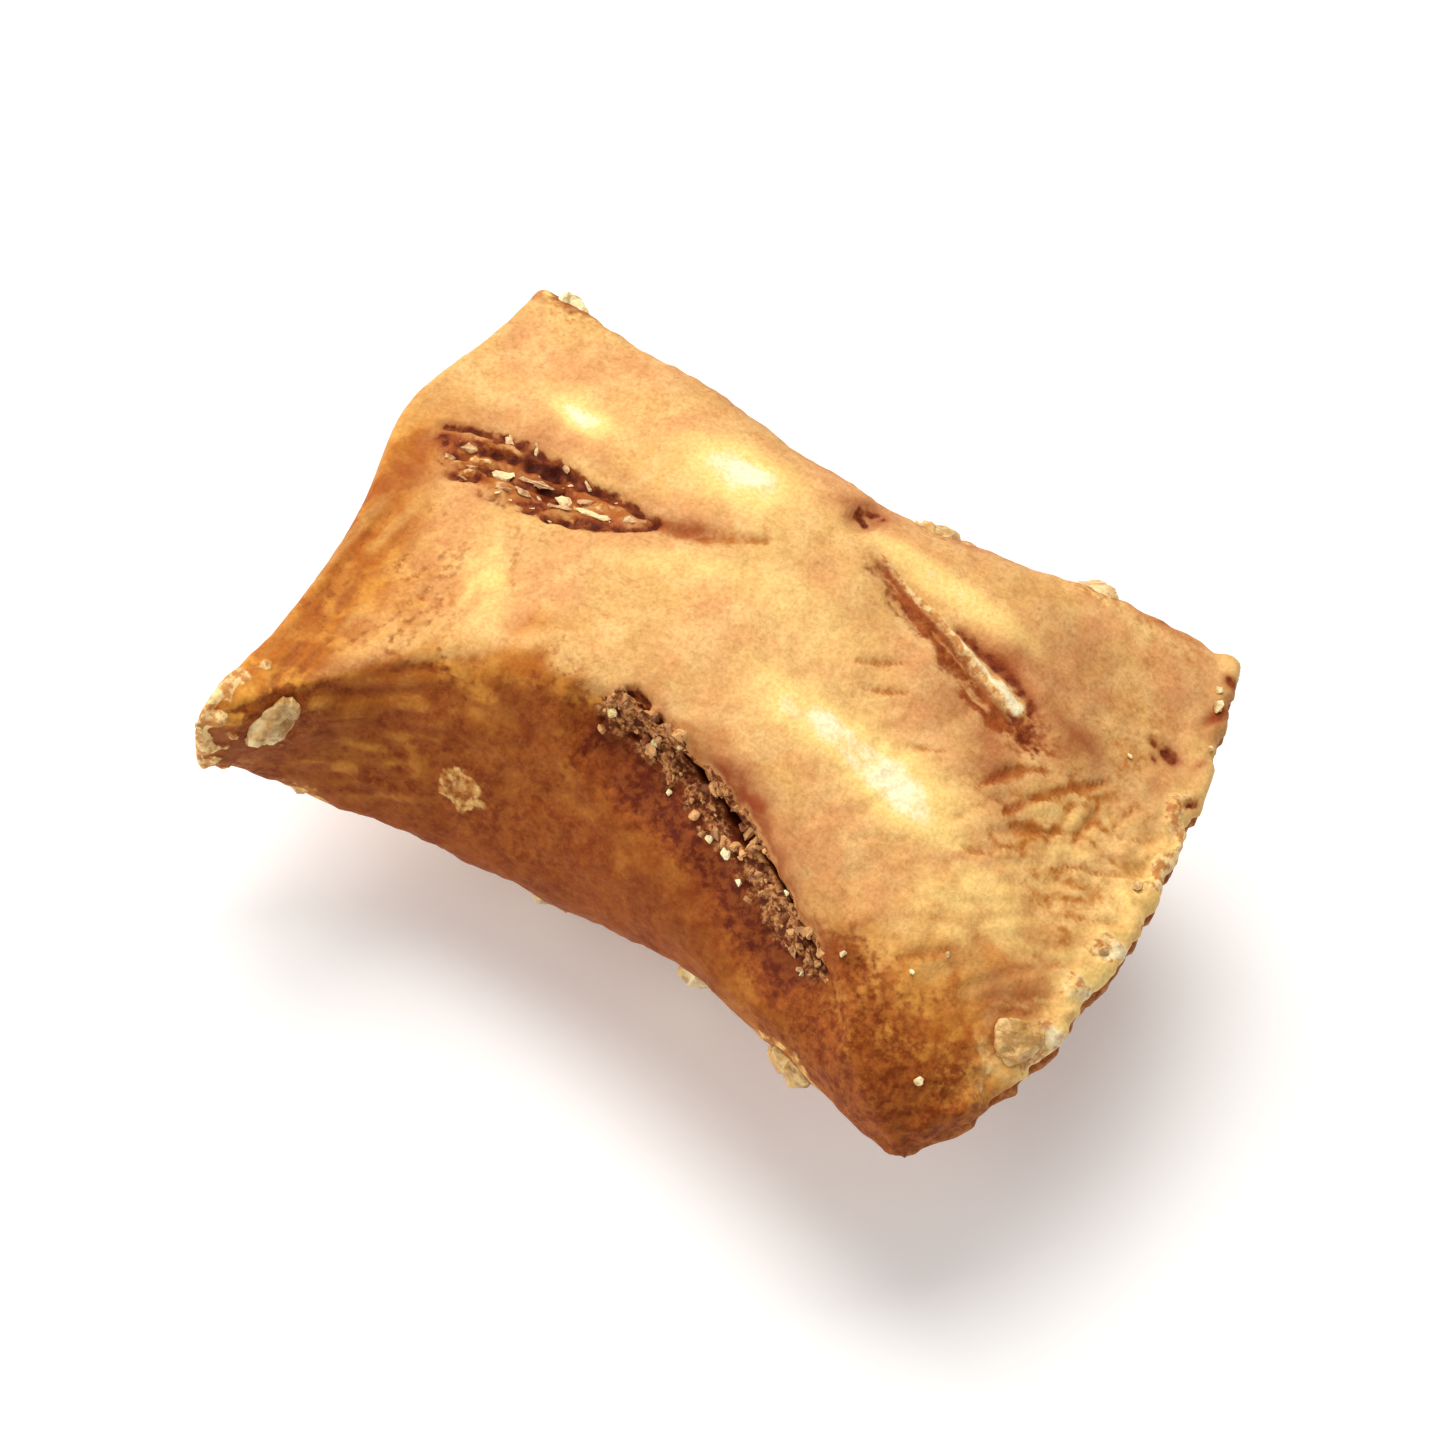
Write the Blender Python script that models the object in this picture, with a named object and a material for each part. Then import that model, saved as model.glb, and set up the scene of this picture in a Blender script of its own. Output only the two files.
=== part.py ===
"""A filled pretzel nugget: a short dough rope, pinched and cut at both ends, baked and salted.

The pale side that lay on the baking belt faces up, with its dents. The domed, salted side faces down,
and the nugget rests on a small flat spot under the dome. The numbers below are millimetres, and the mesh is
made in metres: +X along the rope, +Y to the back, +Z up. Until the end the origin is the middle of the rope,
level with the pinched lips. The last step moves it to the middle of the box's bottom.
"""

import math
import random
from collections import namedtuple

import bmesh
import bpy
import numpy as np
from mathutils import Euler, Vector, noise

MILLIMETRE = 0.001

# Driving sizes.
HALF_LENGTH = 13.0  # from the middle to the corners of a cut end
BACK_REACH = (11.2, 12.0)  # from the core to the back corner of the left and the right lip
FRONT_REACH = (10.6, 11.2)  # and to the front corner
HALF_LIP = 0.75  # half the thickness of a pinched lip
LIP_DEPTH = 0.7  # how far the flat of a lip runs in from its cut edge
FLAT_SPOT_DEPTH = 0.35  # how much of the dome the resting spot takes away

# Mesh density.
STATIONS = 54  # sections along the rope
SPOKES = 68  # points round each section, an even number

# A section of the rope is a polygon of flats with rounded corners. A flat faces an angle in degrees, measured
# from the back (0) over the top (90) to the front (180). A side flat lies at "nearest" from the core at
# the place "at", from -1 at the left end to 1 at the right, and goes over to the lips from there. A higher
# power keeps it near for longer. The belt face and dome swell from the thin lips to "most" in the middle.
Side = namedtuple("Side", "angle nearest at left_power right_power")
Swell = namedtuple("Swell", "angle most power bluntness")
FLATS = {
    "belt face": Swell(90, 3.1, 2.2, 1.2),
    "upper back": Side(32, 8.4, 0.05, 1.1, 1.3),
    "lower back": Side(-28, 9.4, 0.05, 1.5, 1.5),
    "back keel": Side(-60, 11.2, 0.0, 2.4, 2.4),
    "dome": Swell(-90, 11.4, 2.4, 0.8),
    "front keel": Side(-119, 10.6, 0.0, 2.4, 2.4),
    "lower front": Side(-148, 7.6, 0.1, 1.0, 1.4),
    "front wall": Side(151, 4.2, -0.25, 3.0, 1.5),
}
CORNER_SHARPNESS = 6.5
LIP_ROOM = 1.03  # the side flats end a little outside the lips' corners
SPOKES_HEIGHT = 5.5  # the spokes point at an oval that rises so far over the lips
SPOKES_POWER = 2.5  # and falls to them by this power

# The curves of the two cut ends. A side place goes from -1 at a lip's front corner to 1 at its back corner.
# A power says how close to the end a curve keeps.
Bulge = namedtuple("Bulge", "side reach length")
LEFT_BULGES = (Bulge(0.36, 0.3, 1.1), Bulge(-0.83, 0.2, 0.45))
END_POWER = 3
RIGHT_BOW = Bulge(-0.08, 1.0, 1.9)
CORNER_WEAR = 0.01  # the share of the length that the corners lose
CORNER_WEAR_POWER = 10
LIP_TUCK = 0.02  # the share of the width that the cut edges lose
LIP_TUCK_POWER = 24
TIP_DROP = Bulge(-0.95, 0.4, 2.6)  # the left end's front tip hangs down underneath
TIP_SWELL = 0.3  # and stands out to the front
TIP_POWER = 2.2
DROOP_FROM = 2.5  # the right end droops from so far in front of the middle
DROOP_DEPTH = 3.3
DROOP_TUCK = 1.5  # and its front corner is drawn in by so much
DROOP_POWER = 2.5

# Soft unevenness of the baked dough.
Lumps = namedtuple("Lumps", "size height shift")
LUMPS = (Lumps(4.2, 0.34, 0.0), Lumps(1.7, 0.14, 40.0))
LIP_CALM = 0.6  # the share of it that fades out towards the lips
LIP_CALM_POWER = 6

# Dents left by handling before baking, on the belt face and its front ridge, as runs of plan points.
Dent = namedtuple("Dent", "route half_width depth")
DENTS = {
    "torn": Dent(((-12.0, 2.5), (-8.3, 2.9), (-4.6, 2.9)), 1.15, 0.75),
    "slit": Dent(((1.4, 6.2), (5.6, 5.0), (9.6, 3.5)), 1.2, 0.9),
    "pit": Dent(((0.2, 7.5), (1.2, 7.2)), 1.1, 0.6),
    "crusty": Dent(((-3.8, -3.5), (2.0, -4.7), (5.3, -6.9), (9.0, -8.6)), 1.5, 1.1),
}
DENT_TIP = 0.2  # a dent's width at its ends, as a share of its full width
DENT_POWER = 1.3  # how roundly its sides fall

# Coarse salt, as lengths of grains and places on the body.
SALT_SEED = 11
SCATTERED_GRAINS = 30
LARGEST_GRAIN = 2.7
SMALLEST_GRAIN = 1.3
GRAIN_SIZE_POWER = 0.7  # how fast the sizes fall from the largest
GRAIN_CORNERS = 16
GRAIN_PROPORTIONS = (1.0, 0.8, 0.62)
GRAIN_BLOCKINESS = 0.7  # 1 is a ball, and less is nearer a block
GRAIN_CORNER_SHIFT = 0.3  # how far a corner may turn, in radians
GRAIN_CORNER_IN = 0.12  # how far it may lie in, by the grain's size
GRAIN_TILT = 0.5  # in radians
GRAIN_SUNK = 0.08  # how far below the crust a grain's middle lies, by its length
SCATTER_TRIES = 9  # each grain takes the roomiest of so many places
SALT_FREE_RADIUS = 4.6  # round the middle of the resting spot
SALT_FREE_LIP = 1.5  # in from the corners of the cut ends
SALTED_NORMALS = (-148, 22)  # the dome side, as angles of the same kind as the flats'
TIP_GRAIN = ((-10.7, -9.3, -0.6), 2.3)  # on the front wall by the left tip
LIP_GRAIN = ((13.4, -4.8, 0.0), 2.1)  # on the right lip
GOLDEN_ANGLE = math.pi * (3 - math.sqrt(5))


def fade(t):
    """A smooth step from 0 at t=0 to 1 at t=1."""
    t = np.clip(t, 0, 1)
    return t * t * (3 - 2 * t)


def bump(t, middle, reach):
    """1 at the middle, falling smoothly to nothing about twice the reach away."""
    return np.exp(-(((t - middle) / reach) ** 2))


def lip_reach(u, to_the_back):
    """How far the lip corner lies from the core, the left lip's for u<0 and the right lip's for u>0."""
    left, right = BACK_REACH if to_the_back else FRONT_REACH
    return left + (right - left) * fade(u + 0.5)


def flat_distance(flat, u):
    """How far one flat lies from the rope's core at u."""
    if isinstance(flat, Swell):
        reach = np.clip(np.abs(u) * HALF_LENGTH / (HALF_LENGTH - LIP_DEPTH), 0, 1)
        return HALF_LIP + (flat.most - HALF_LIP) * (1 - reach**flat.power) ** flat.bluntness
    angle = math.radians(flat.angle)
    lip_corner = lip_reach(u, math.cos(angle) > 0)
    at_lip = LIP_ROOM * (lip_corner * abs(math.cos(angle)) + HALF_LIP * abs(math.sin(angle)))
    left = np.clip((flat.at - u) / (1 + flat.at), 0, 1) ** flat.left_power
    right = np.clip((u - flat.at) / (1 - flat.at), 0, 1) ** flat.right_power
    return flat.nearest + (at_lip - flat.nearest) * (left + right)


def smooth_body(u, turn):
    """Points of the nugget before its dents and lumps, for u along the rope and turn round it in radians."""
    width = lip_reach(u, False)
    height = HALF_LIP + SPOKES_HEIGHT * (1 - np.clip(np.abs(u), 0, 1) ** SPOKES_POWER)
    y, z = width * np.cos(turn), height * np.sin(turn)
    y, z = y / np.hypot(y, z), z / np.hypot(y, z)
    closeness = 0.0
    for flat in FLATS.values():
        angle = math.radians(flat.angle)
        facing = np.maximum(0, y * math.cos(angle) + z * math.sin(angle))
        closeness = closeness + (facing / flat_distance(flat, u)) ** CORNER_SHARPNESS
    radius = closeness ** (-1 / CORNER_SHARPNESS)
    return shaped_ends(u, turn, y * radius, z * radius)


def shaped_ends(u, turn, y, z):
    """The two cut ends: a waved left end with a thick front tip, and a bowed right end that droops."""
    left = np.clip(-u, 0, 1)
    right = np.clip(u, 0, 1)
    side = y / np.where(y > 0, lip_reach(u, True), lip_reach(u, False))
    x = HALF_LENGTH * u
    for bulge in LEFT_BULGES:
        x = x - left**END_POWER * bulge.length * bump(side, bulge.side, bulge.reach)
    bow = np.clip(1 - ((side - RIGHT_BOW.side) / RIGHT_BOW.reach) ** 2, 0, 1)
    x = x + right**END_POWER * RIGHT_BOW.length * bow
    x = x * (1 - CORNER_WEAR * np.abs(side) ** CORNER_WEAR_POWER)
    y = y * (1 - LIP_TUCK * side**2 * np.abs(u) ** LIP_TUCK_POWER)
    underneath = fade(-3 * np.sin(turn))
    in_front = bump(-np.sin(turn), 0.1, 0.3) * (np.cos(turn) < 0)
    z = z - left**TIP_POWER * TIP_DROP.length * underneath * bump(side, TIP_DROP.side, TIP_DROP.reach)
    y = y - left**TIP_POWER * TIP_SWELL * in_front
    droop = np.clip((-y - DROOP_FROM) / (FRONT_REACH[1] - DROOP_FROM), 0, 1)
    x = x - right**END_POWER * DROOP_TUCK * droop**2
    y = y + right**END_POWER * DROOP_TUCK * droop**2
    z = z - right**DROOP_POWER * DROOP_DEPTH * droop**1.4
    return x, y, z


def outward(x, y, z):
    """Unit normals of a grid of points whose second axis closes on itself."""
    points = np.stack([x, y, z], axis=-1)
    along = np.gradient(points, axis=0)
    around = np.roll(points, -1, axis=1) - np.roll(points, 1, axis=1)
    normals = np.cross(around, along)
    return normals / np.maximum(np.linalg.norm(normals, axis=-1, keepdims=True), 1e-9)


def distance_to_route(x, y, route):
    """Distance in plan to a run of points, and how far along the run the nearest point is, from 0 to 1."""
    nearest = np.full(np.shape(x), np.inf)
    along = np.zeros(np.shape(x))
    pieces = len(route) - 1
    for i, ((x1, y1), (x2, y2)) in enumerate(zip(route, route[1:])):
        run = (x2 - x1) ** 2 + (y2 - y1) ** 2
        t = np.clip(((x - x1) * (x2 - x1) + (y - y1) * (y2 - y1)) / run, 0, 1)
        gap = np.hypot(x - x1 - t * (x2 - x1), y - y1 - t * (y2 - y1))
        along = np.where(gap < nearest, (i + t) / pieces, along)
        nearest = np.minimum(gap, nearest)
    return nearest, along


def dent_depth(x, y, facing_up):
    """How deep the dents press into the upper side."""
    depth = 0.0
    for dent in DENTS.values():
        gap, along = distance_to_route(x, y, dent.route)
        fullness = np.sqrt(np.sin(math.pi * along))
        half_width = dent.half_width * (DENT_TIP + (1 - DENT_TIP) * fullness)
        depth = depth + dent.depth * fullness * np.clip(1 - (gap / half_width) ** 2, 0, 1) ** DENT_POWER
    return depth * fade(facing_up * 2.5)


def lumps(points, size, height):
    """Soft unevenness of about the given size, up to the given height."""
    flat = points.reshape(-1, 3) / size
    values = [noise.noise(Vector(p)) for p in flat]
    return height * np.array(values).reshape(points.shape[:-1])


def body_points(u, turn):
    """Points of the finished body surface, apart from its flat resting spot."""
    x, y, z = smooth_body(u, turn)
    normals = outward(x, y, z)
    points = np.stack([x, y, z], axis=-1)
    raised = sum(lumps(points + some.shift, some.size, some.height) for some in LUMPS)
    raised = raised * (1 - LIP_CALM * np.abs(u) ** LIP_CALM_POWER) - dent_depth(x, y, normals[..., 2])
    return points + normals * raised[..., None]


def body_grid():
    """The points of the body on a grid of sections and spokes, with the dome flattened where it rests."""
    evenly = np.linspace(-1, 1, STATIONS)
    u = 0.7 * evenly + 0.3 * np.sin(evenly * math.pi / 2)
    turn = np.linspace(0, 2 * math.pi, SPOKES, endpoint=False)
    points = body_points(*np.meshgrid(u, turn, indexing="ij"))
    bottom = points[..., 2].min() + FLAT_SPOT_DEPTH
    points[..., 2] = np.maximum(points[..., 2], bottom)
    return points


def body_mesh(points):
    """A closed triangle mesh over the grid, with a strip of faces across each cut end."""
    bm = bmesh.new()
    rings = [[bm.verts.new(p) for p in section] for section in (points * MILLIMETRE).tolist()]
    for ring, following in zip(rings, rings[1:]):
        for j in range(SPOKES):
            k = (j + 1) % SPOKES
            bm.faces.new((ring[j], following[j], following[k], ring[k]))
    for ring in (rings[0], rings[-1]):
        for j in range(SPOKES // 2):
            across = (ring[j], ring[j + 1], ring[-j - 1], ring[-j])
            bm.faces.new(dict.fromkeys(across))
    bmesh.ops.recalc_face_normals(bm, faces=bm.faces)
    bmesh.ops.triangulate(bm, faces=bm.faces)
    mesh = bpy.data.meshes.new("pretzel_nugget")
    bm.to_mesh(mesh)
    bm.free()
    return mesh


def salt_sites(points, normals):
    """Where the grains sit, as a point, a normal and a length, the largest first."""
    draw = random.Random(SALT_SEED)
    spot = points[points[..., 2] < points[..., 2].min() + 0.001].mean(axis=0)
    sites = []
    for place, length in (TIP_GRAIN, LIP_GRAIN):
        nearest = np.argmin(np.linalg.norm(points - np.array(place), axis=-1))
        i, j = np.unravel_index(nearest, points.shape[:2])
        sites.append((points[i, j], normals[i, j], length))
    facing = np.degrees(np.arctan2(normals[..., 2], normals[..., 1]))
    salted = (facing > SALTED_NORMALS[0]) & (facing < SALTED_NORMALS[1])
    salted &= np.hypot(points[..., 0] - spot[0], points[..., 1] - spot[1]) > SALT_FREE_RADIUS
    salted &= np.abs(points[..., 0]) < HALF_LENGTH - SALT_FREE_LIP
    places = np.argwhere(salted)
    for k in range(SCATTERED_GRAINS):
        share = (k / SCATTERED_GRAINS) ** GRAIN_SIZE_POWER
        length = LARGEST_GRAIN + (SMALLEST_GRAIN - LARGEST_GRAIN) * share
        tries = [tuple(places[draw.randrange(len(places))]) for _ in range(SCATTER_TRIES)]
        room = [min(math.dist(points[t], point) - size / 2 for point, _, size in sites) for t in tries]
        best = tries[room.index(max(room))]
        sites.append((points[best], normals[best], length))
    return sites


def grain_mesh(draw, length):
    """A blunt, blocky crystal as the hull of a few points."""
    bm = bmesh.new()
    for k in range(GRAIN_CORNERS):
        height = 1 - (2 * k + 1) / GRAIN_CORNERS
        turn = k * GOLDEN_ANGLE + draw.uniform(-GRAIN_CORNER_SHIFT, GRAIN_CORNER_SHIFT)
        level = math.sqrt(1 - height * height)
        corner = Vector((level * math.cos(turn), level * math.sin(turn), height))
        blocky = [math.copysign(abs(c) ** GRAIN_BLOCKINESS, c) for c in corner]
        size = 0.5 * length * MILLIMETRE * draw.uniform(1 - GRAIN_CORNER_IN, 1)
        bm.verts.new([c * size * share for c, share in zip(blocky, GRAIN_PROPORTIONS)])
    hull = bmesh.ops.convex_hull(bm, input=bm.verts)
    bmesh.ops.delete(bm, geom=list(set(hull["geom_interior"] + hull["geom_unused"])), context="VERTS")
    mesh = bpy.data.meshes.new("salt grain")
    bm.to_mesh(mesh)
    bm.free()
    return mesh


def salt_grains(points, normals):
    """A collection of loose grains, each half sunk in the crust."""
    draw = random.Random(SALT_SEED + 1)
    grains = bpy.data.collections.new("salt")
    bpy.context.scene.collection.children.link(grains)
    for point, normal, length in salt_sites(points, normals):
        grain = bpy.data.objects.new("salt grain", grain_mesh(draw, length))
        up = Vector(normal)
        grain.rotation_mode = "QUATERNION"
        lean = [draw.uniform(-GRAIN_TILT, GRAIN_TILT) for _ in range(2)]
        tilt = Euler((*lean, draw.uniform(0, math.tau)))
        grain.rotation_quaternion = up.to_track_quat("Z", "Y") @ tilt.to_quaternion()
        grain.location = (Vector(point) - up * GRAIN_SUNK * length) * MILLIMETRE
        grains.objects.link(grain)
    return grains


def fuse(body, grains):
    """Join a collection's objects to the body with one Boolean, and remove them."""
    union = body.modifiers.new("salt", "BOOLEAN")
    union.operation = "UNION"
    union.operand_type = "COLLECTION"
    union.collection = grains
    union.solver = "EXACT"
    bpy.context.view_layer.objects.active = body
    bpy.ops.object.modifier_apply(modifier=union.name)
    for grain in list(grains.objects):
        bpy.data.objects.remove(grain)
    bpy.data.collections.remove(grains)


def stand_on_origin(body):
    """Move the mesh so that the origin is the middle of the bottom of its box."""
    corners = np.array([v.co for v in body.data.vertices])
    low, high = corners.min(axis=0), corners.max(axis=0)
    middle = Vector(((low[0] + high[0]) / 2, (low[1] + high[1]) / 2, low[2]))
    for vertex in body.data.vertices:
        vertex.co -= middle


def crust_material():
    crust = bpy.data.materials.new("baked crust")
    crust.use_nodes = True
    shader = crust.node_tree.nodes["Principled BSDF"]
    shader.inputs["Base Color"].default_value = (0.62, 0.33, 0.13, 1)
    shader.inputs["Roughness"].default_value = 0.55
    shader.inputs["Metallic"].default_value = 0
    return crust


def main():
    for old in list(bpy.data.objects):
        bpy.data.objects.remove(old)
    points = body_grid()
    normals = outward(*np.moveaxis(points, -1, 0))
    nugget = bpy.data.objects.new("pretzel_nugget", body_mesh(points))
    bpy.context.scene.collection.objects.link(nugget)
    nugget.data.materials.append(crust_material())
    fuse(nugget, salt_grains(points, normals))
    stand_on_origin(nugget)
    nugget.data.shade_smooth()
    nugget.data.set_sharp_from_angle(angle=math.radians(50))


main()
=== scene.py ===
"""The looks of a filled pretzel nugget: baked crust with dents, torn crumb and coarse salt, on a pale floor.

The crust is the CAD body's own form at a finer grain, so the form's named sizes are repeated here. They are
millimetres from the middle of the rope, level with the pinched lips, with +X along the rope, +Y to the back
and +Z up.
"""

import math
import random
from collections import namedtuple

import bmesh
import bpy
import numpy as np
from mathutils import Euler, Matrix, Vector, noise


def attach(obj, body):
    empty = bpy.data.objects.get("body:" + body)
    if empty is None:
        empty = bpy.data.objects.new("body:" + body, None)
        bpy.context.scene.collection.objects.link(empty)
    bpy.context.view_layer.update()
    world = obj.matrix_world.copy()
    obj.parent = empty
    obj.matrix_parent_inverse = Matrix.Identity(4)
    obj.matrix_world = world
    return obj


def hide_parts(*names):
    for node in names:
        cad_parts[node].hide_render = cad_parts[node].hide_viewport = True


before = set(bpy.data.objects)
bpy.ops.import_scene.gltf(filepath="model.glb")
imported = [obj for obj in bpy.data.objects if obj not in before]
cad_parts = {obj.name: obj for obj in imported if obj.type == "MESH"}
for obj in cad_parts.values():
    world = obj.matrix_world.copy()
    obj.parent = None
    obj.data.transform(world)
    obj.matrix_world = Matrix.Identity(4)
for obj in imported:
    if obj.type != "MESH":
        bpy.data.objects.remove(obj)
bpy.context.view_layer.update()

MILLIMETRE = 0.001
ROPE_MIDDLE = (-0.400, -0.585, 9.614)  # the middle of the rope in the CAD frame

# ---- the CAD body's form
HALF_LENGTH = 13.0
BACK_REACH = (11.2, 12.0)
FRONT_REACH = (10.6, 11.2)
HALF_LIP = 0.75
LIP_DEPTH = 0.7
FLAT_SPOT_DEPTH = 0.35
CAD_GRID = (54, 68)
Side = namedtuple("Side", "angle nearest at left_power right_power")
Swell = namedtuple("Swell", "angle most power bluntness")
FLATS = (
    Swell(90, 3.1, 2.2, 1.2),
    Side(32, 8.4, 0.05, 1.1, 1.3),
    Side(-28, 9.4, 0.05, 1.5, 1.5),
    Side(-60, 11.2, 0.0, 2.4, 2.4),
    Swell(-90, 11.4, 2.4, 0.8),
    Side(-119, 10.6, 0.0, 2.4, 2.4),
    Side(-148, 7.6, 0.1, 1.0, 1.4),
    Side(151, 4.2, -0.25, 3.0, 1.5),
)
CORNER_SHARPNESS = 6.5
LIP_ROOM = 1.03
SPOKES_HEIGHT = 5.5
SPOKES_POWER = 2.5
Bulge = namedtuple("Bulge", "side reach length")
LEFT_BULGES = (Bulge(0.36, 0.3, 1.1), Bulge(-0.83, 0.2, 0.45))
END_POWER = 3
RIGHT_BOW = Bulge(-0.08, 1.0, 1.9)
CORNER_WEAR = 0.01
CORNER_WEAR_POWER = 10
LIP_TUCK = 0.02
LIP_TUCK_POWER = 24
TIP_DROP = Bulge(-0.95, 0.4, 2.6)
TIP_SWELL = 0.3
TIP_POWER = 2.2
DROOP_FROM = 2.5
DROOP_DEPTH = 3.3
DROOP_TUCK = 1.5
DROOP_POWER = 2.5
Lumps = namedtuple("Lumps", "size height shift")
LUMPS = (Lumps(4.2, 0.34, 0.0), Lumps(1.7, 0.14, 40.0))
LIP_CALM = 0.6
LIP_CALM_POWER = 6
Dent = namedtuple("Dent", "route half_width depth")
DENTS = {
    "torn": Dent(((-12.0, 2.5), (-8.3, 2.9), (-4.6, 2.9)), 1.15, 0.75),
    "slit": Dent(((1.4, 6.2), (5.6, 5.0), (9.6, 3.5)), 1.2, 0.9),
    "pit": Dent(((0.2, 7.5), (1.2, 7.2)), 1.1, 0.6),
    "crusty": Dent(((-3.8, -3.5), (2.0, -4.7), (5.3, -6.9), (9.0, -8.6)), 1.5, 1.1),
}
DENT_TIP = 0.2
DENT_POWER = 1.3
SALT_SEED = 11
SCATTERED_GRAINS = 30
LARGEST_GRAIN = 2.7
SMALLEST_GRAIN = 1.3
GRAIN_SIZE_POWER = 0.7
GRAIN_CORNERS = 16
GRAIN_PROPORTIONS = (1.0, 0.8, 0.62)
GRAIN_BLOCKINESS = 0.7
GRAIN_CORNER_SHIFT = 0.3
GRAIN_CORNER_IN = 0.12
GRAIN_TILT = 0.5
GRAIN_SUNK = 0.08
SCATTER_TRIES = 9
SALT_FREE_RADIUS = 4.6
SALT_FREE_LIP = 1.5
SALTED_NORMALS = (-148, 22)
TIP_GRAIN = ((-10.7, -9.3, -0.6), 2.3)
LIP_GRAIN = ((13.4, -4.8, 0.0), 2.1)
GOLDEN_ANGLE = math.pi * (3 - math.sqrt(5))

# ---- the fine crust
FINE_GRID = (232, 400)  # sections along the rope and spokes round it
CUT_FACE_ROWS = 8  # faces across the thickness of a cut end
EDGE_ROUNDING = 0.4
EDGE_CLOSING = 0.9  # how far a cut face's edge draws in, by the rounding
NOTCH_DEPTH = 0.2  # how far the right lip's broken edge runs in and out
SPREAD = 8  # spokes to each side over which the back's colour edge is softened


def rows(kind, *values):
    """A named tuple of one kind from each row of values."""
    return tuple(kind(*row) for row in values)


# Runs of points in plan or in space, with a width and a strength.
Line = namedtuple("Line", "route width strength")
TORN = ((-12.5, 3.1), (-11.0, 2.75), (-9.5, 2.75), (-8.0, 2.65), (-6.5, 2.8), (-4.5, 3.2))
TORN_WIDTHS = (0.35, 1.15, 1.3, 1.2, 0.85, 0.15)  # half the torn dent's width at each of its points
TORN_CRACKS = (
    Line(((-12.5, 3.65), (-11.4, 3.9), (-10.0, 4.05), (-8.4, 3.9), (-6.6, 3.55), (-4.7, 3.2)), 0.26, 0.95),
    Line(((-10.8, 3.4), (-9.8, 3.55), (-9.0, 3.55), (-8.3, 3.55)), 0.22, 0.8),
    Line(((-10.3, 2.5), (-9.6, 2.75), (-8.8, 3.05), (-8.1, 3.15)), 0.18, 0.75),
    Line(((-10.2, 1.5), (-9.0, 1.5), (-7.9, 1.6), (-7.2, 1.75)), 0.2, 0.45),
    Line(((-7.6, 1.6), (-6.5, 1.95), (-5.6, 2.45), (-4.7, 3.05)), 0.23, 0.95),
    Line(((-12.0, 2.3), (-11.3, 1.95), (-10.5, 2.0)), 0.2, 0.5),
)
STRAND = ((1.7, 6.15), (3.2, 5.65), (4.9, 5.2), (6.4, 4.7), (7.7, 4.3), (8.4, 4.15))
SLIT_POCKET = Line(((5.2, 5.45), (6.4, 5.2), (7.4, 4.95), (8.4, 4.5)), 0.34, 1.0)
GROOVE = ((-2.9, -3.1, 2.3), (-1.5, -3.1, 2.0), (-0.1, -3.5, 1.6), (1.5, -3.95, 1.6), (2.7, -4.4, 1.4),
          (4.2, -5.25, 1.1), (5.3, -6.0, 0.8), (6.8, -6.6, 0.7), (8.0, -7.2, 0.5))
GROOVE_FACING = (0.0, -0.75, 0.66)
GROOVE_HOLES = (
    Line(((0.2, -3.45, 2.0), (0.9, -3.75, 1.85)), 0.36, 1.0),
    Line(((1.7, -4.05, 1.6), (2.9, -4.7, 1.2)), 0.36, 1.0),
    Line(((3.2, -4.4, 1.7), (5.6, -5.7, 1.4)), 0.24, 0.9),
    Line(((-2.3, -2.8, 2.7), (-1.0, -2.8, 2.6)), 0.16, 0.6),
    Line(((6.0, -6.0, 1.3), (7.4, -6.8, 0.9)), 0.14, 0.6),
)
FOLD = ((-5.9, 1.7), (-3.7, 2.3), (-1.7, 3.6))
CREASES = rows(
    Line,
    (((8.4, 1.0), (9.0, 2.2), (9.8, 2.9)), 0.15, 1.0), (((9.4, 0.6), (10.2, 2.2), (11.5, 4.0)), 0.16, 1.0),
    (((9.8, 0.5), (10.7, 1.0)), 0.15, 0.9), (((11.1, 2.5), (11.0, 1.0)), 0.14, 0.9),
    (((11.8, 3.1), (11.7, 1.4)), 0.14, 0.8), (((12.7, 3.8), (12.5, 2.9)), 0.14, 0.6),
    (((9.0, -1.1), (9.8, -0.8)), 0.13, 0.9), (((3.8, 1.7), (4.9, 2.3)), 0.12, 0.8),
    (((3.1, 2.3), (4.3, 3.1)), 0.12, 0.7), (((5.9, 0.8), (6.9, 1.3)), 0.14, 0.5),
    (((10.3, -4.4), (9.2, -5.5)), 0.18, 0.6), (((12.6, -2.7), (13.4, -2.5)), 0.18, 0.7),
    (((-11.9, -7.7), (-11.9, -6.0)), 0.16, 0.9), (((-11.4, -7.2), (-11.3, -5.4)), 0.12, 0.6),
    (((-11.7, -4.3), (-11.8, -2.8)), 0.25, 0.7), (((-8.6, -1.1), (-8.0, -2.3)), 0.12, 0.5),
    (((-7.9, -0.3), (-7.3, -1.2)), 0.12, 0.4), (((-4.8, 3.0), (-2.9, 3.5), (-1.4, 4.3)), 0.3, 0.7),
)

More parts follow.
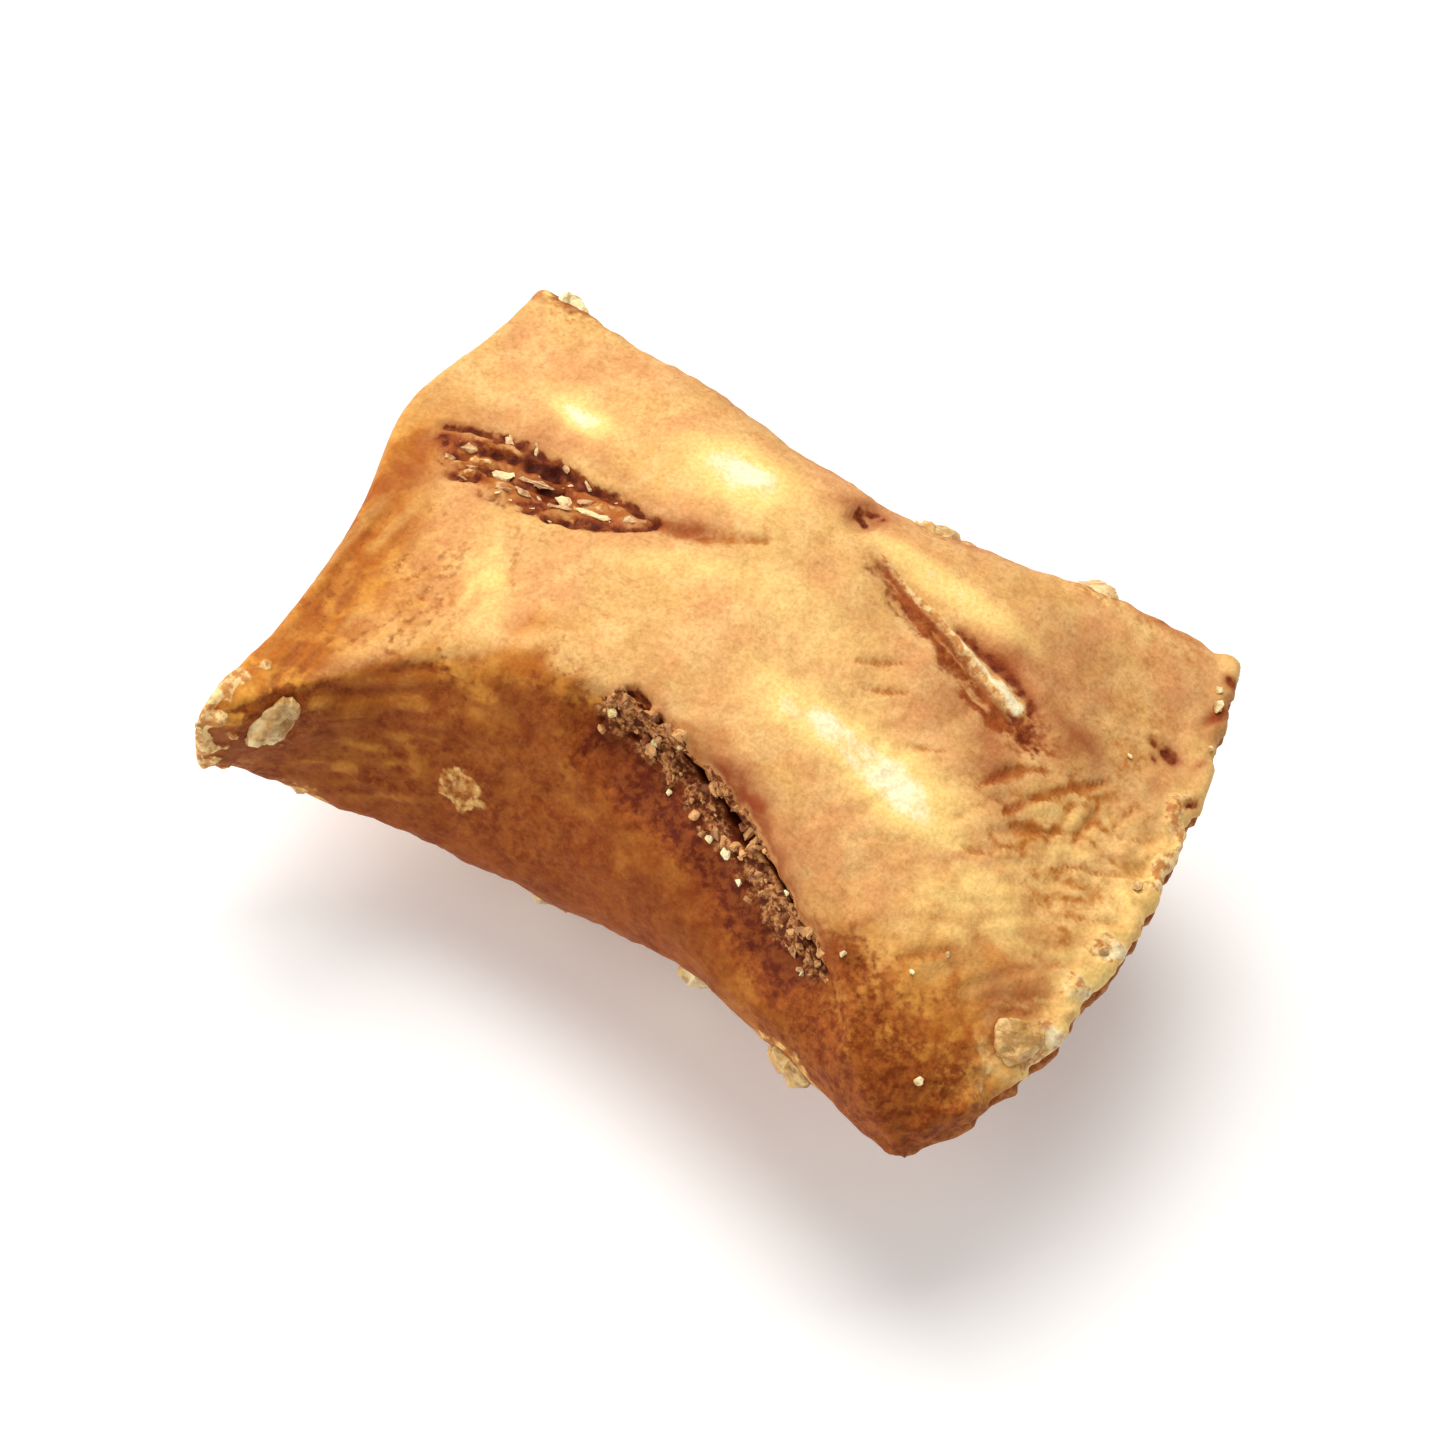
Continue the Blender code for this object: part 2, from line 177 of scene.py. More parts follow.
# Soft patches in plan: middle, length, width, turn in degrees, and strength.
Patch = namedtuple("Patch", "x y length width turn strength")
# Painted highlights: soft pale patches where the glossy belt face catches the light.
HIGHLIGHT_PATCHES = rows(
    Patch,
    (-9.3, 6.2, 3.4, 1.5, -16, 0.4), (-8.8, 5.95, 1.6, 0.8, -12, 0.6), (-3.4, 6.2, 3.8, 2.6, -4, 0.42),
    (-3.4, 6.35, 3.2, 2.2, -4, 0.55), (1.2, -0.7, 3.4, 2.4, -10, 0.2), (3.2, -0.4, 3.8, 1.8, -3, 0.5),
    (3.4, -0.4, 2.4, 0.8, -3, 0.3), (5.6, -0.6, 3.8, 2.4, -6, 0.42), (7.0, -0.8, 3.4, 2.4, -9, 0.38),
    (7.0, -0.8, 2.8, 1.4, -9, 0.32), (-8.2, -1.2, 3.8, 1.5, -58, 0.45), (4.4, 6.5, 6.6, 1.1, -3, 0.62),
    (-3.7, 1.9, 4.2, 0.9, 24, 0.4), (9.6, -2.9, 3.0, 1.2, 25, 0.35), (12.0, -2.4, 1.6, 0.8, 20, 0.2),
    (1.0, 2.6, 6.4, 3.0, -10, 0.3),
)
SLIT_PIT = Patch(8.6, 3.65, 1.9, 1.4, -20, 1.0)
PIT = Patch(0.65, 7.6, 1.9, 1.3, 25, 1.0)
# Red-brown patches; those by the slit, the fold and the furrow are painted shade.
DARKENED_PATCHES = rows(
    Patch,
    (9.4, 6.4, 5.0, 3.2, -10, 0.36), (7.2, 5.7, 1.8, 1.0, -20, 0.4), (11.0, -6.0, 2.4, 1.8, 0, 0.25),
    (-9.8, 4.5, 4.2, 1.0, 2, 0.28), (9.6, 4.4, 2.8, 1.9, -20, 0.5), (11.2, 4.4, 2.4, 2.4, -20, 0.22),
    (7.4, 2.4, 4.4, 1.9, -22, 0.48), (8.9, 1.2, 2.0, 1.4, 0, 0.25), (12.6, -4.9, 2.6, 2.2, 0, 0.45),
    (13.2, 9.0, 3.0, 3.2, 0, 0.55), (13.4, 4.8, 1.6, 3.0, 0, 0.28), (-12.4, 1.7, 2.0, 4.0, 0, 0.36),
    (1.6, -3.2, 3.4, 1.0, -18, 0.4), (-12.2, 3.0, 1.6, 3.0, 0, 0.24), (-9.2, -5.8, 4.6, 1.0, 20, 0.5),
    (2.4, -3.6, 3.0, 1.0, -22, 0.2), (12.6, -3.3, 3.2, 3.8, 0, 0.34), (-5.9, 4.0, 3.0, 0.8, -20, 0.3),
    (2.2, 5.6, 2.2, 1.0, -25, 0.25), (-3.9, 3.4, 2.2, 0.9, 15, 0.45), (9.8, 3.6, 2.4, 1.8, 0, 0.12),
    (6.5, 8.4, 9.0, 1.6, -10, 0.22), (2.2, 3.9, 3.4, 2.6, -30, 0.15), (-4.5, 8.9, 8.0, 1.6, 0, 0.15),
)
# Red-brown pits by the right back corner, darker in their hollows as painted shade.
RUSTY_SPOTS = rows(
    Patch,
    (12.75, 6.4, 0.7, 0.55, 0, 1.1), (12.1, 6.4, 0.35, 0.28, 0, 0.8), (12.4, 5.9, 0.35, 0.25, 0, 0.7),
    (13.0, 10.1, 0.5, 0.4, 0, 0.8), (13.2, 8.7, 0.9, 0.4, 80, 0.7), (13.6, 6.7, 0.7, 0.3, 80, 0.6),
    (14.1, 5.3, 0.6, 0.25, 80, 0.9),
)

# How the crust is coloured round a grain: the melted halo, the toasted ring, which is also painted contact
# shadow, and the ring's width.
GRAIN_BED = (0.7, 0.6, 0.14)
# Round the grain by the left tip the ring is mostly painted shadow.
TIP_GRAIN_BED = (0.2, 1.0, 0.3)
SALT_CUTS = 5  # new points along each edge of a coarse grain
SOIL_PLACE = 0.35  # how far out from a grain's middle its soiled place lies, by its length
SOIL_REACH = 0.33
# The grains by the left tip and on the right lip: their tones, and the soil, which leans to the top.
END_GRAIN_TONES = (0.5, 0.2)
END_GRAIN_SOIL = 0.7
END_GRAIN_LEAN = Vector((0, 0, 1.2))
# Discs of melted salt: middle and radius.
MELTED = (
    ((-5.7, -5.9, -2.2), 0.9), ((2.5, -9.6, -4.5), 0.8), ((-8.5, -8.6, -5.2), 0.7), ((7.6, -9.2, -5.4), 0.9),
    ((-1.5, -7.5, -3.6), 0.55), ((-3.4, -10.2, -7.6), 0.9), ((4.4, 5.5, -7.6), 0.9), ((-6.0, 7.6, -5.5), 0.8),
    ((9.0, 8.6, -3.4), 0.7),
)


def fade(t):
    """A smooth step from 0 at t=0 to 1 at t=1."""
    t = np.clip(t, 0, 1)
    return t * t * (3 - 2 * t)


def bump(t, middle, reach):
    """1 at the middle, falling smoothly to nothing about twice the reach away."""
    return np.exp(-(((t - middle) / reach) ** 2))


def lip_reach(u, to_the_back):
    """How far the lip corner lies from the core, the left lip's for u<0 and the right lip's for u>0."""
    left, right = BACK_REACH if to_the_back else FRONT_REACH
    return left + (right - left) * fade(u + 0.5)


def flat_distance(flat, u):
    """How far one flat lies from the rope's core at u."""
    if isinstance(flat, Swell):
        reach = np.clip(np.abs(u) * HALF_LENGTH / (HALF_LENGTH - LIP_DEPTH), 0, 1)
        return HALF_LIP + (flat.most - HALF_LIP) * (1 - reach**flat.power) ** flat.bluntness
    angle = math.radians(flat.angle)
    lip_corner = lip_reach(u, math.cos(angle) > 0)
    at_lip = LIP_ROOM * (lip_corner * abs(math.cos(angle)) + HALF_LIP * abs(math.sin(angle)))
    left = np.clip((flat.at - u) / (1 + flat.at), 0, 1) ** flat.left_power
    right = np.clip((u - flat.at) / (1 - flat.at), 0, 1) ** flat.right_power
    return flat.nearest + (at_lip - flat.nearest) * (left + right)


def smooth_body(u, turn):
    """Points of the nugget before its dents and lumps, for u along the rope and turn round it in radians."""
    width = lip_reach(u, False)
    height = HALF_LIP + SPOKES_HEIGHT * (1 - np.clip(np.abs(u), 0, 1) ** SPOKES_POWER)
    y, z = width * np.cos(turn), height * np.sin(turn)
    y, z = y / np.hypot(y, z), z / np.hypot(y, z)
    closeness = 0.0
    for flat in FLATS:
        angle = math.radians(flat.angle)
        facing = np.maximum(0, y * math.cos(angle) + z * math.sin(angle))
        closeness = closeness + (facing / flat_distance(flat, u)) ** CORNER_SHARPNESS
    radius = closeness ** (-1 / CORNER_SHARPNESS)
    return shaped_ends(u, turn, y * radius, z * radius)


def shaped_ends(u, turn, y, z):
    """The two cut ends: a waved left end with a thick front tip, and a bowed right end that droops."""
    left = np.clip(-u, 0, 1)
    right = np.clip(u, 0, 1)
    side = y / np.where(y > 0, lip_reach(u, True), lip_reach(u, False))
    x = HALF_LENGTH * u
    for bulge in LEFT_BULGES:
        x = x - left**END_POWER * bulge.length * bump(side, bulge.side, bulge.reach)
    bow = np.clip(1 - ((side - RIGHT_BOW.side) / RIGHT_BOW.reach) ** 2, 0, 1)
    x = x + right**END_POWER * RIGHT_BOW.length * bow
    x = x * (1 - CORNER_WEAR * np.abs(side) ** CORNER_WEAR_POWER)
    y = y * (1 - LIP_TUCK * side**2 * np.abs(u) ** LIP_TUCK_POWER)
    underneath = fade(-3 * np.sin(turn))
    in_front = bump(-np.sin(turn), 0.1, 0.3) * (np.cos(turn) < 0)
    z = z - left**TIP_POWER * TIP_DROP.length * underneath * bump(side, TIP_DROP.side, TIP_DROP.reach)
    y = y - left**TIP_POWER * TIP_SWELL * in_front
    droop = np.clip((-y - DROOP_FROM) / (FRONT_REACH[1] - DROOP_FROM), 0, 1)
    x = x - right**END_POWER * DROOP_TUCK * droop**2
    y = y + right**END_POWER * DROOP_TUCK * droop**2
    z = z - right**DROOP_POWER * DROOP_DEPTH * droop**1.4
    return x, y, z


def outward(x, y, z):
    """Unit normals of a grid of points whose second axis closes on itself."""
    points = np.stack([x, y, z], axis=-1)
    along = np.gradient(points, axis=0)
    around = np.roll(points, -1, axis=1) - np.roll(points, 1, axis=1)
    normals = np.cross(around, along)
    return normals / np.maximum(np.linalg.norm(normals, axis=-1, keepdims=True), 1e-9)


Beside = namedtuple("Beside", "travelled left share gap steps")


def beside(points, route, facing=(0, 0, 1)):
    """Where points lie by a run: how far along it, how far to its left, the share travelled, and the gap.

    The last value is the share travelled with each step of the run taken as equally long. Depth along the
    facing direction isn't counted.
    """
    facing = np.array(facing) / np.linalg.norm(facing)
    route = [np.array(p if len(p) == 3 else (*p, 0.0)) for p in route]
    best = np.full(points.shape[:-1], np.inf)
    travelled, left, steps = (np.zeros(best.shape) for _ in range(3))
    start = 0.0
    for i, (here, there) in enumerate(zip(route, route[1:])):
        ahead = there - here - facing * ((there - here) @ facing)
        length = np.linalg.norm(ahead)
        ahead = ahead / length
        away = points - here
        away = away - (away @ facing)[..., None] * facing
        t = np.clip(away @ ahead, 0, length)
        away = away - t[..., None] * ahead
        gap = np.linalg.norm(away, axis=-1)
        closer = gap < best
        best = np.where(closer, gap, best)
        travelled = np.where(closer, start + t, travelled)
        steps = np.where(closer, i + t / length, steps)
        left = np.where(closer, away @ np.cross(facing, ahead), left)
        start += length
    return Beside(travelled, left, travelled / start, best, steps / (len(route) - 1))


def dent_depth(points, facing_up, names=tuple(DENTS)):
    """How deep the dents press into the upper side."""
    depth = 0.0
    for dent in (DENTS[name] for name in names):
        at = beside(points, dent.route)
        fullness = np.sqrt(np.sin(math.pi * at.steps))
        half_width = dent.half_width * (DENT_TIP + (1 - DENT_TIP) * fullness)
        depth = depth + dent.depth * fullness * np.clip(1 - (at.gap / half_width) ** 2, 0, 1) ** DENT_POWER
    return depth * fade(facing_up * 2.5)


def lumps(points, size, height):
    """Soft unevenness of about the given size, up to the given height."""
    flat = points.reshape(-1, 3) / size
    values = [noise.noise(Vector(p)) for p in flat]
    return height * np.array(values).reshape(points.shape[:-1])


def grid_coordinates(stations, spokes):
    """Sections along the rope, closer together towards its ends, and turns spread evenly round each."""
    evenly = np.linspace(-1, 1, stations)
    u = 0.7 * evenly + 0.3 * np.sin(evenly * math.pi / 2)
    turn = np.linspace(0, 2 * math.pi, spokes, endpoint=False)
    return np.meshgrid(u, turn, indexing="ij")


def even_coordinates(stations, spokes):
    """Grid coordinates whose spokes are spread evenly over each section's upper half, and over its lower."""
    dense = 8 * spokes
    u, turn = grid_coordinates(stations, dense)
    x, y, z = smooth_body(u, turn)
    steps = np.hypot(np.diff(y, append=y[:, :1]), np.diff(z, append=z[:, :1]))
    spread = []
    for row in steps:
        for half in (0, 1):
            travelled = np.concatenate([[0], np.cumsum(row[half * dense // 2:(half + 1) * dense // 2])])
            turns = math.pi * (half + np.linspace(0, 1, dense // 2 + 1))
            places = np.linspace(0, travelled[-1], spokes // 2, endpoint=False)
            spread.append(np.interp(places, travelled, turns))
    return u[:, :spokes], np.array(spread).reshape(stations, spokes)


def cad_raised(points, u, facing_up):
    """The lumps and dents of the CAD body."""
    raised = sum(lumps(points + some.shift, some.size, some.height) for some in LUMPS)
    raised = raised * (1 - LIP_CALM * np.abs(u) ** LIP_CALM_POWER)
    return raised - dent_depth(points, facing_up)


def cad_grid():
    """The points of the CAD body, from which the salt's places follow."""
    u, turn = grid_coordinates(*CAD_GRID)
    x, y, z = smooth_body(u, turn)
    normals = outward(x, y, z)
    points = np.stack([x, y, z], axis=-1)
    points = points + normals * cad_raised(points, u, normals[..., 2])[..., None]
    points[..., 2] = np.maximum(points[..., 2], points[..., 2].min() + FLAT_SPOT_DEPTH)
    return points


# ---- fine relief and paint
class Skin:
    """The fine crust while it is worked on: smooth points and normals, heights to add, and painted masks."""

    # The scorch, toast and rust masks are crust colours that also carry painted shade: in hollows, cracks,
    # pits and holes, round grains, and on parts turned from the light.
    MASKS = ("belt", "pale", "amber", "ochre", "scorch", "crumb", "crust", "rust", "melted", "toast", "dome")

    def __init__(self):
        self.u, turn = even_coordinates(*FINE_GRID)
        self.x, self.y, z = smooth_body(self.u, turn)
        self.points = np.stack([self.x, self.y, z], axis=-1)
        self.normals = outward(self.x, self.y, z)
        self.facing_up = self.normals[..., 2]
        self.up = fade(self.facing_up * 2.5)
        self.raised = cad_raised(self.points, self.u, self.facing_up)
        self.paint = {name: np.zeros(self.x.shape) for name in self.MASKS}
        self.from_left = HALF_LENGTH * (1 + self.u)
        self.from_right = HALF_LENGTH * (1 - self.u)
        self.roughness = self.grain(0.35, 33.0)

    def add(self, name, amount):
        self.paint[name] = np.clip(self.paint[name] + amount, 0, 1)

    def mark(self, strength, raised=0.0, **amounts):
        """Add shares of one strength to the height and to some masks."""
        self.raised += raised * strength
        for name, amount in amounts.items():
            self.add(name, amount * strength)

    def dent(self, name):
        """How deep one of the CAD body's dents is."""
        return dent_depth(self.points, self.facing_up, [name])

    def grain(self, size, shift=0.0, stretch=1.0, heading=0.0):
        """Noise from about -1 to 1, of the given size in millimetres, drawn out in plan along a heading."""
        turn = math.radians(heading)
        along = np.array((math.cos(turn), math.sin(turn), 0))
        drawn = self.points - (self.points @ along)[..., None] * along * (1 - 1 / stretch)
        return lumps(drawn + shift, size, 1.6)


def turned_towards(skin, facing):
    """1 where the crust faces a direction, falling to 0 where it is turned away."""
    return fade((skin.normals @ np.array(facing) - 0.1) * 3)


def line_strength(skin, line, ragged=0.07, facing=(0, 0, 1)):
    """How strongly a line with thin ends shows at each point."""
    at = beside(skin.points, line.route, facing)
    width = line.width * np.sqrt(np.sin(math.pi * np.clip(at.share, 0.1, 0.9)))
    return line.strength * bump(at.gap + ragged * skin.roughness, 0, width) * turned_towards(skin, facing)


def patch_strength(skin, patch):
    """How strongly a soft patch shows at each point of the upper side."""
    turn = math.radians(patch.turn)
    dx, dy = skin.x - patch.x, skin.y - patch.y
    along = (dx * math.cos(turn) + dy * math.sin(turn)) / (patch.length / 2)
    across = (dy * math.cos(turn) - dx * math.sin(turn)) / (patch.width / 2)
    return patch.strength * np.exp(-((along**2 + across**2) ** 1.1) * 0.9) * skin.up


def base_coat(skin):
    """The pale belt face against the wall, toasted and darkened as painted shade, and the tan dome, and the
    uneven bake over them.
    """
    back = fade(skin.y / 3)
    around = range(-SPREAD, SPREAD + 1)
    spread = sum(np.roll(skin.facing_up, k, axis=1) for k in around) / len(around)
    tilt = skin.facing_up * (1 - back) + spread * back
    tilt = tilt + (0.1 + 0.08 * back) * skin.grain(2.2, 9.0) + 0.05 * skin.grain(0.7, 10.0)
    front_left = fade(-skin.y / 4) * fade((3 - skin.x) / 4)
    streaks = skin.grain(0.6, 7.0, 5, 50)
    # Faces turned up take the pale belt colour; the front below them keeps the wall's brown, which is partly
    # painted shade.
    skin.add("belt", fade((tilt + 0.12 * front_left * streaks - 0.42 - 0.2 * front_left) / 0.38))
    tan = fade((-0.4 - tilt) / 0.4) + fade((skin.normals[..., 1] + 0.1) / 0.4)
    skin.add("dome", tan + fade((skin.normals[..., 0] - 0.25) / 0.3) * fade(-tilt / 0.3))
    left_rim(skin)
    front_ridge(skin, tilt, front_left, streaks)
    front_right_corner(skin)
    uneven_bake(skin, tilt)


def left_rim(skin):
    """Amber along the left end, redder at its edge: browning, with painted shade where the end curves down.
    """
    red = bump(skin.from_left, 0.6, 1.3) * fade((2.5 - skin.y) / 3) * fade((skin.y + 7.5) / 2)
    skin.add("rust", 0.34 * red * skin.up)
    rim = bump(skin.from_left, 0.7, 1.2) * fade((6 - skin.y) / 4)
    rim = rim + 0.4 * bump(skin.from_left, 1.5, 2.5) * fade((2 - skin.y) / 4)
    skin.add("amber", (rim + 0.25 * rim * skin.grain(0.5, 8.0, 6, 85)) * skin.up)


def front_ridge(skin, tilt, front_left, streaks):
    """Amber along the front ridge, browning with painted half-shade where the belt face turns down, and
    toasted fibres at its left.
    """
    ridge = bump(tilt + 0.1 * streaks, 0.71, 0.19) * fade(1.6 * front_left)
    skin.add("amber", 0.85 * ridge + 0.3 * bump(tilt, 0.6, 0.3) * fade(-skin.y / 4) * (1 - front_left))
    along_ridge = fade((-5.0 - skin.x) / 3) * fade((-2 - skin.y) / 2) * bump(tilt, 0.45, 0.4)
    fibres = skin.grain(0.42, 77.0, 7, 46)
    skin.add("amber", 0.55 * along_ridge * fade((fibres - 0.05) / 0.3))
    skin.add("toast", 0.7 * along_ridge * fade((-0.1 - fibres) / 0.3))
    skin.raised += 0.07 * along_ridge * fibres


def front_right_corner(skin):
    """The right front corner, toasted and darkened with painted shade where it droops, with amber round it.
    """
    to_corner = np.hypot((skin.x - 11.3) / 1.25, skin.y + 9.9)
    skin.add("amber", 0.8 * fade((7.2 - to_corner + 0.7 * skin.grain(1.0, 11.0)) / 3.5) * skin.up)
    to_corner = to_corner - 1.3 * fade((10.0 - skin.x) / 2) + 0.5 * fade((skin.y + 6.2) / 1.5)
    corner = fade((5.2 - to_corner + 0.8 * skin.grain(1.3, 11.0)) / 3.9)
    # Toast with painted shade, darkest on the drooping corner.
    skin.add("toast", 0.95 * corner * fade((skin.facing_up + 0.4) / 0.4))


def uneven_bake(skin, tilt):
    """Toast and amber on the wall, the right lip and under both lips, and ochre mottling at both ends."""
    x, y = skin.x, skin.y
    skin.add("toast", 0.5 * bump(x, -3.4, 3.6) * bump(tilt, 0.35, 0.3) * fade(-y / 3))
    skin.add("amber", 0.4 * bump(np.hypot(x - 6.2, y + 7.8), 0, 2.2) * fade((0.3 - tilt) / 0.3))
    skin.add("amber", 0.32 * bump(np.hypot(x - 12.2, y + 3.8), 0, 2.2) * skin.up)
    near_lips = bump(np.minimum(skin.from_left, skin.from_right), 0, 3.0)
    skin.add("toast", 0.5 * fade(-skin.facing_up * 2) * near_lips)
    mottled = np.clip(0.08 + 0.35 * skin.grain(1.4, 3.0) + 0.35 * skin.grain(0.6, 4.0), 0, 1)
    skin.add("ochre", fade((x - 7.5) / 4) * skin.up * mottled)
    left_low = fade((-5 - x) / 4) * fade((1 - y) / 4) * skin.up
    skin.add("ochre", left_low * np.clip(0.6 * skin.grain(0.5, 5.0, 5, 95), 0, 1))


def paint_highlights(skin):
    """Painted highlights: soft pale patches on the belt face, which is glossier there."""
    highlight_patchiness = 1 + 0.25 * skin.grain(0.8, 21.0) + 0.1 * skin.grain(0.4, 22.0)
    for patch in HIGHLIGHT_PATCHES:
        skin.add("pale", patch_strength(skin, patch) * highlight_patchiness)


def left_wrinkles(skin):
    """Fine creases along the left end, with painted highlights on their crests and painted shade in their
    hollows.
    """
    left_end = fade((-4.5 - skin.x) / 4) * fade((2.5 - skin.y) / 3) * fade((skin.facing_up - 0.55) / 0.2)
    creases = np.abs(skin.grain(0.9, 101.0, 6, 80))
    skin.raised += left_end * (0.14 * np.minimum(creases, 0.5) - 0.04)
    skin.add("pale", 0.2 * left_end * fade((creases - 0.45) / 0.4))
    skin.add("toast", 0.32 * left_end * fade((0.17 - creases) / 0.15))


def right_wrinkles(skin):
    """Creases across the right side, with a net of veins towards the right lip: darker ochre in the sunk
    veins as painted shade, and painted highlights between them.
    """
    right_side = fade((skin.x - 2.5) / 2) * fade((5 - skin.y) / 2) * fade((skin.y + 7) / 3) * skin.up
    creases = np.abs(skin.grain(0.75, 105.0, 3, 52))
    skin.raised += right_side * (0.13 * np.minimum(creases, 0.45) - 0.04)
    fine_end = fade((skin.x - 7) / 3) * right_side
    skin.raised += fine_end * 0.05 * skin.grain(0.45, 107.0, 2, 40)
    veins = np.abs(skin.grain(0.9, 106.0, 2.5, 30)) + 0.3 * fade((-skin.y - 0.2) / 1.5)
    skin.mark(fine_end * fade((0.3 - veins) / 0.28), raised=-0.07, ochre=0.6)
    skin.add("pale", 0.25 * fine_end * fade((veins - 0.5) / 0.4))


def creases_and_fold(skin):
    """The larger creases, each in its place, browned and darkened with painted shade in their hollows, and
    the fold past the torn dent.
    """
    for crease in CREASES:
        skin.mark(line_strength(skin, crease, 0.04) * skin.up, raised=-0.14, ochre=1.2, rust=0.3)
    at = beside(skin.points, FOLD)
    fullness = np.sqrt(np.sin(math.pi * at.share))
    skin.raised += (0.16 * bump(at.left, -0.1, 0.4) - 0.1 * bump(at.left, 0.75, 0.35)) * fullness * skin.up


def torn_dent(skin):
    """A torn opening in the belt face: cracks darkened with painted shade through flaky crumb, browner at its
    left end.
    """
    at = beside(skin.points, TORN)
    lengths = [math.dist(a, b) for a, b in zip(TORN, TORN[1:])]
    half_width = np.interp(at.travelled, np.cumsum([0] + lengths), TORN_WIDTHS)
    half_width = half_width + 0.2 * skin.grain(0.8, 5.0) + 0.12 * skin.grain(0.35, 6.0)
    inside = fade((half_width - at.gap) / (0.25 + 0.35 * fade((4 - at.travelled) / 3))) * skin.up
    skin.raised += skin.dent("torn") * (0.45 + 0.4 * fade((0.1 - at.left) / 0.6))
    cracks = sum(line_strength(skin, crack, 0.05) for crack in TORN_CRACKS)
    cracks = np.clip(cracks * (1 - 0.15 * skin.roughness), 0, 1) * skin.up
    torn_crumb_coat(skin, inside, cracks, fade((3.4 - at.travelled) / 2))


def torn_crumb_coat(skin, inside, cracks, left_end):
    """The fibres and colours of the torn dent's crumb, speckled at its left end, with painted shade in
    cracks, between fibres and in pits.
    """
    fibres = skin.grain(0.4, 31.0, 6, 14)
    rough = skin.roughness
    skin.raised += inside * (0.12 * fibres + 0.04 * (1 + 1.5 * left_end) * rough) - 0.24 * cracks
    skin.add("scorch", 0.8 * cracks + inside * np.clip(0.1 - 0.9 * fibres - 0.2 * rough, 0, 0.5))
    skin.add("rust", inside * np.clip(0.62 - 0.42 * left_end - 0.5 * fibres, 0, 0.85) + 0.4 * cracks)
    skin.add("ochre", 0.8 * inside)
    skin.add("toast", inside * np.clip(0.45 * left_end + 0.15 - 0.5 * fibres - 0.4 * rough, 0, 0.8))
    skin.add("crumb", inside * (1 - cracks) * np.clip(fibres - 0.25, 0, 0.6) * (1 - 0.5 * left_end))
    speckled = inside * left_end * (1 - cracks)
    skin.add("crumb", 0.6 * speckled * fade((rough - 0.25) / 0.3))
    skin.add("scorch", 0.45 * speckled * fade((-0.2 - rough) / 0.3))


def slit(skin):
    """A long cut: a pale strand, and in painted shade a brown streaked slope, a dark foot, and a pocket and a
    pit at its right.
    """
    at = beside(skin.points, STRAND)
    left, share, rough = at.left, at.share, skin.roughness
    inside = fade(share * 16) * fade((1 - share) * 22) * (at.gap < 2.5) * skin.up
    streaks = skin.grain(0.34, 12.0, 5, -20)
    wide = 0.08 + 0.3 * share**1.2
    strand = bump(left + 0.07 * rough, 0, wide) * inside
    foot = bump(left + 0.05 * rough, -0.1 - wide, 0.12) * inside
    reach = 1.0 + 0.7 * share + 0.25 * skin.grain(0.8, 14.0)
    slope = fade((left + reach) / 0.5) * fade((-0.03 - wide - left) / 0.12) * inside
    pocket = line_strength(skin, SLIT_POCKET) * skin.up * (1 - np.clip(1.5 * strand, 0, 1))
    pit = patch_strength(skin, SLIT_PIT) * (1 + 0.3 * rough)
    skin.raised += skin.dent("slit") * (0.86 - 0.3 * fade((left + 0.1) / 0.3))
    skin.raised += slope * (0.09 * streaks - 0.1)
    skin.raised += strand * (0.06 + 0.1 * share + 0.06 * skin.grain(0.35, 13.0, 3, -25))
    skin.add("crumb", 1.3 * strand)
    skin.add("pale", strand * (0.15 + 1.1 * share))
    # Painted shade: the slope's brown, and the darkness of the foot, the pocket and the pit.
    skin.add("toast", slope * np.clip(0.62 + 0.6 * streaks, 0.1, 0.95))
    skin.add("rust", 0.12 * slope)
    skin.mark(foot, raised=-0.1, toast=0.5, rust=0.4, scorch=0.2)
    skin.mark(pocket, raised=-0.2, rust=0.9, scorch=0.6)
    skin.mark(pit, raised=-0.25, toast=0.9, scorch=0.5)


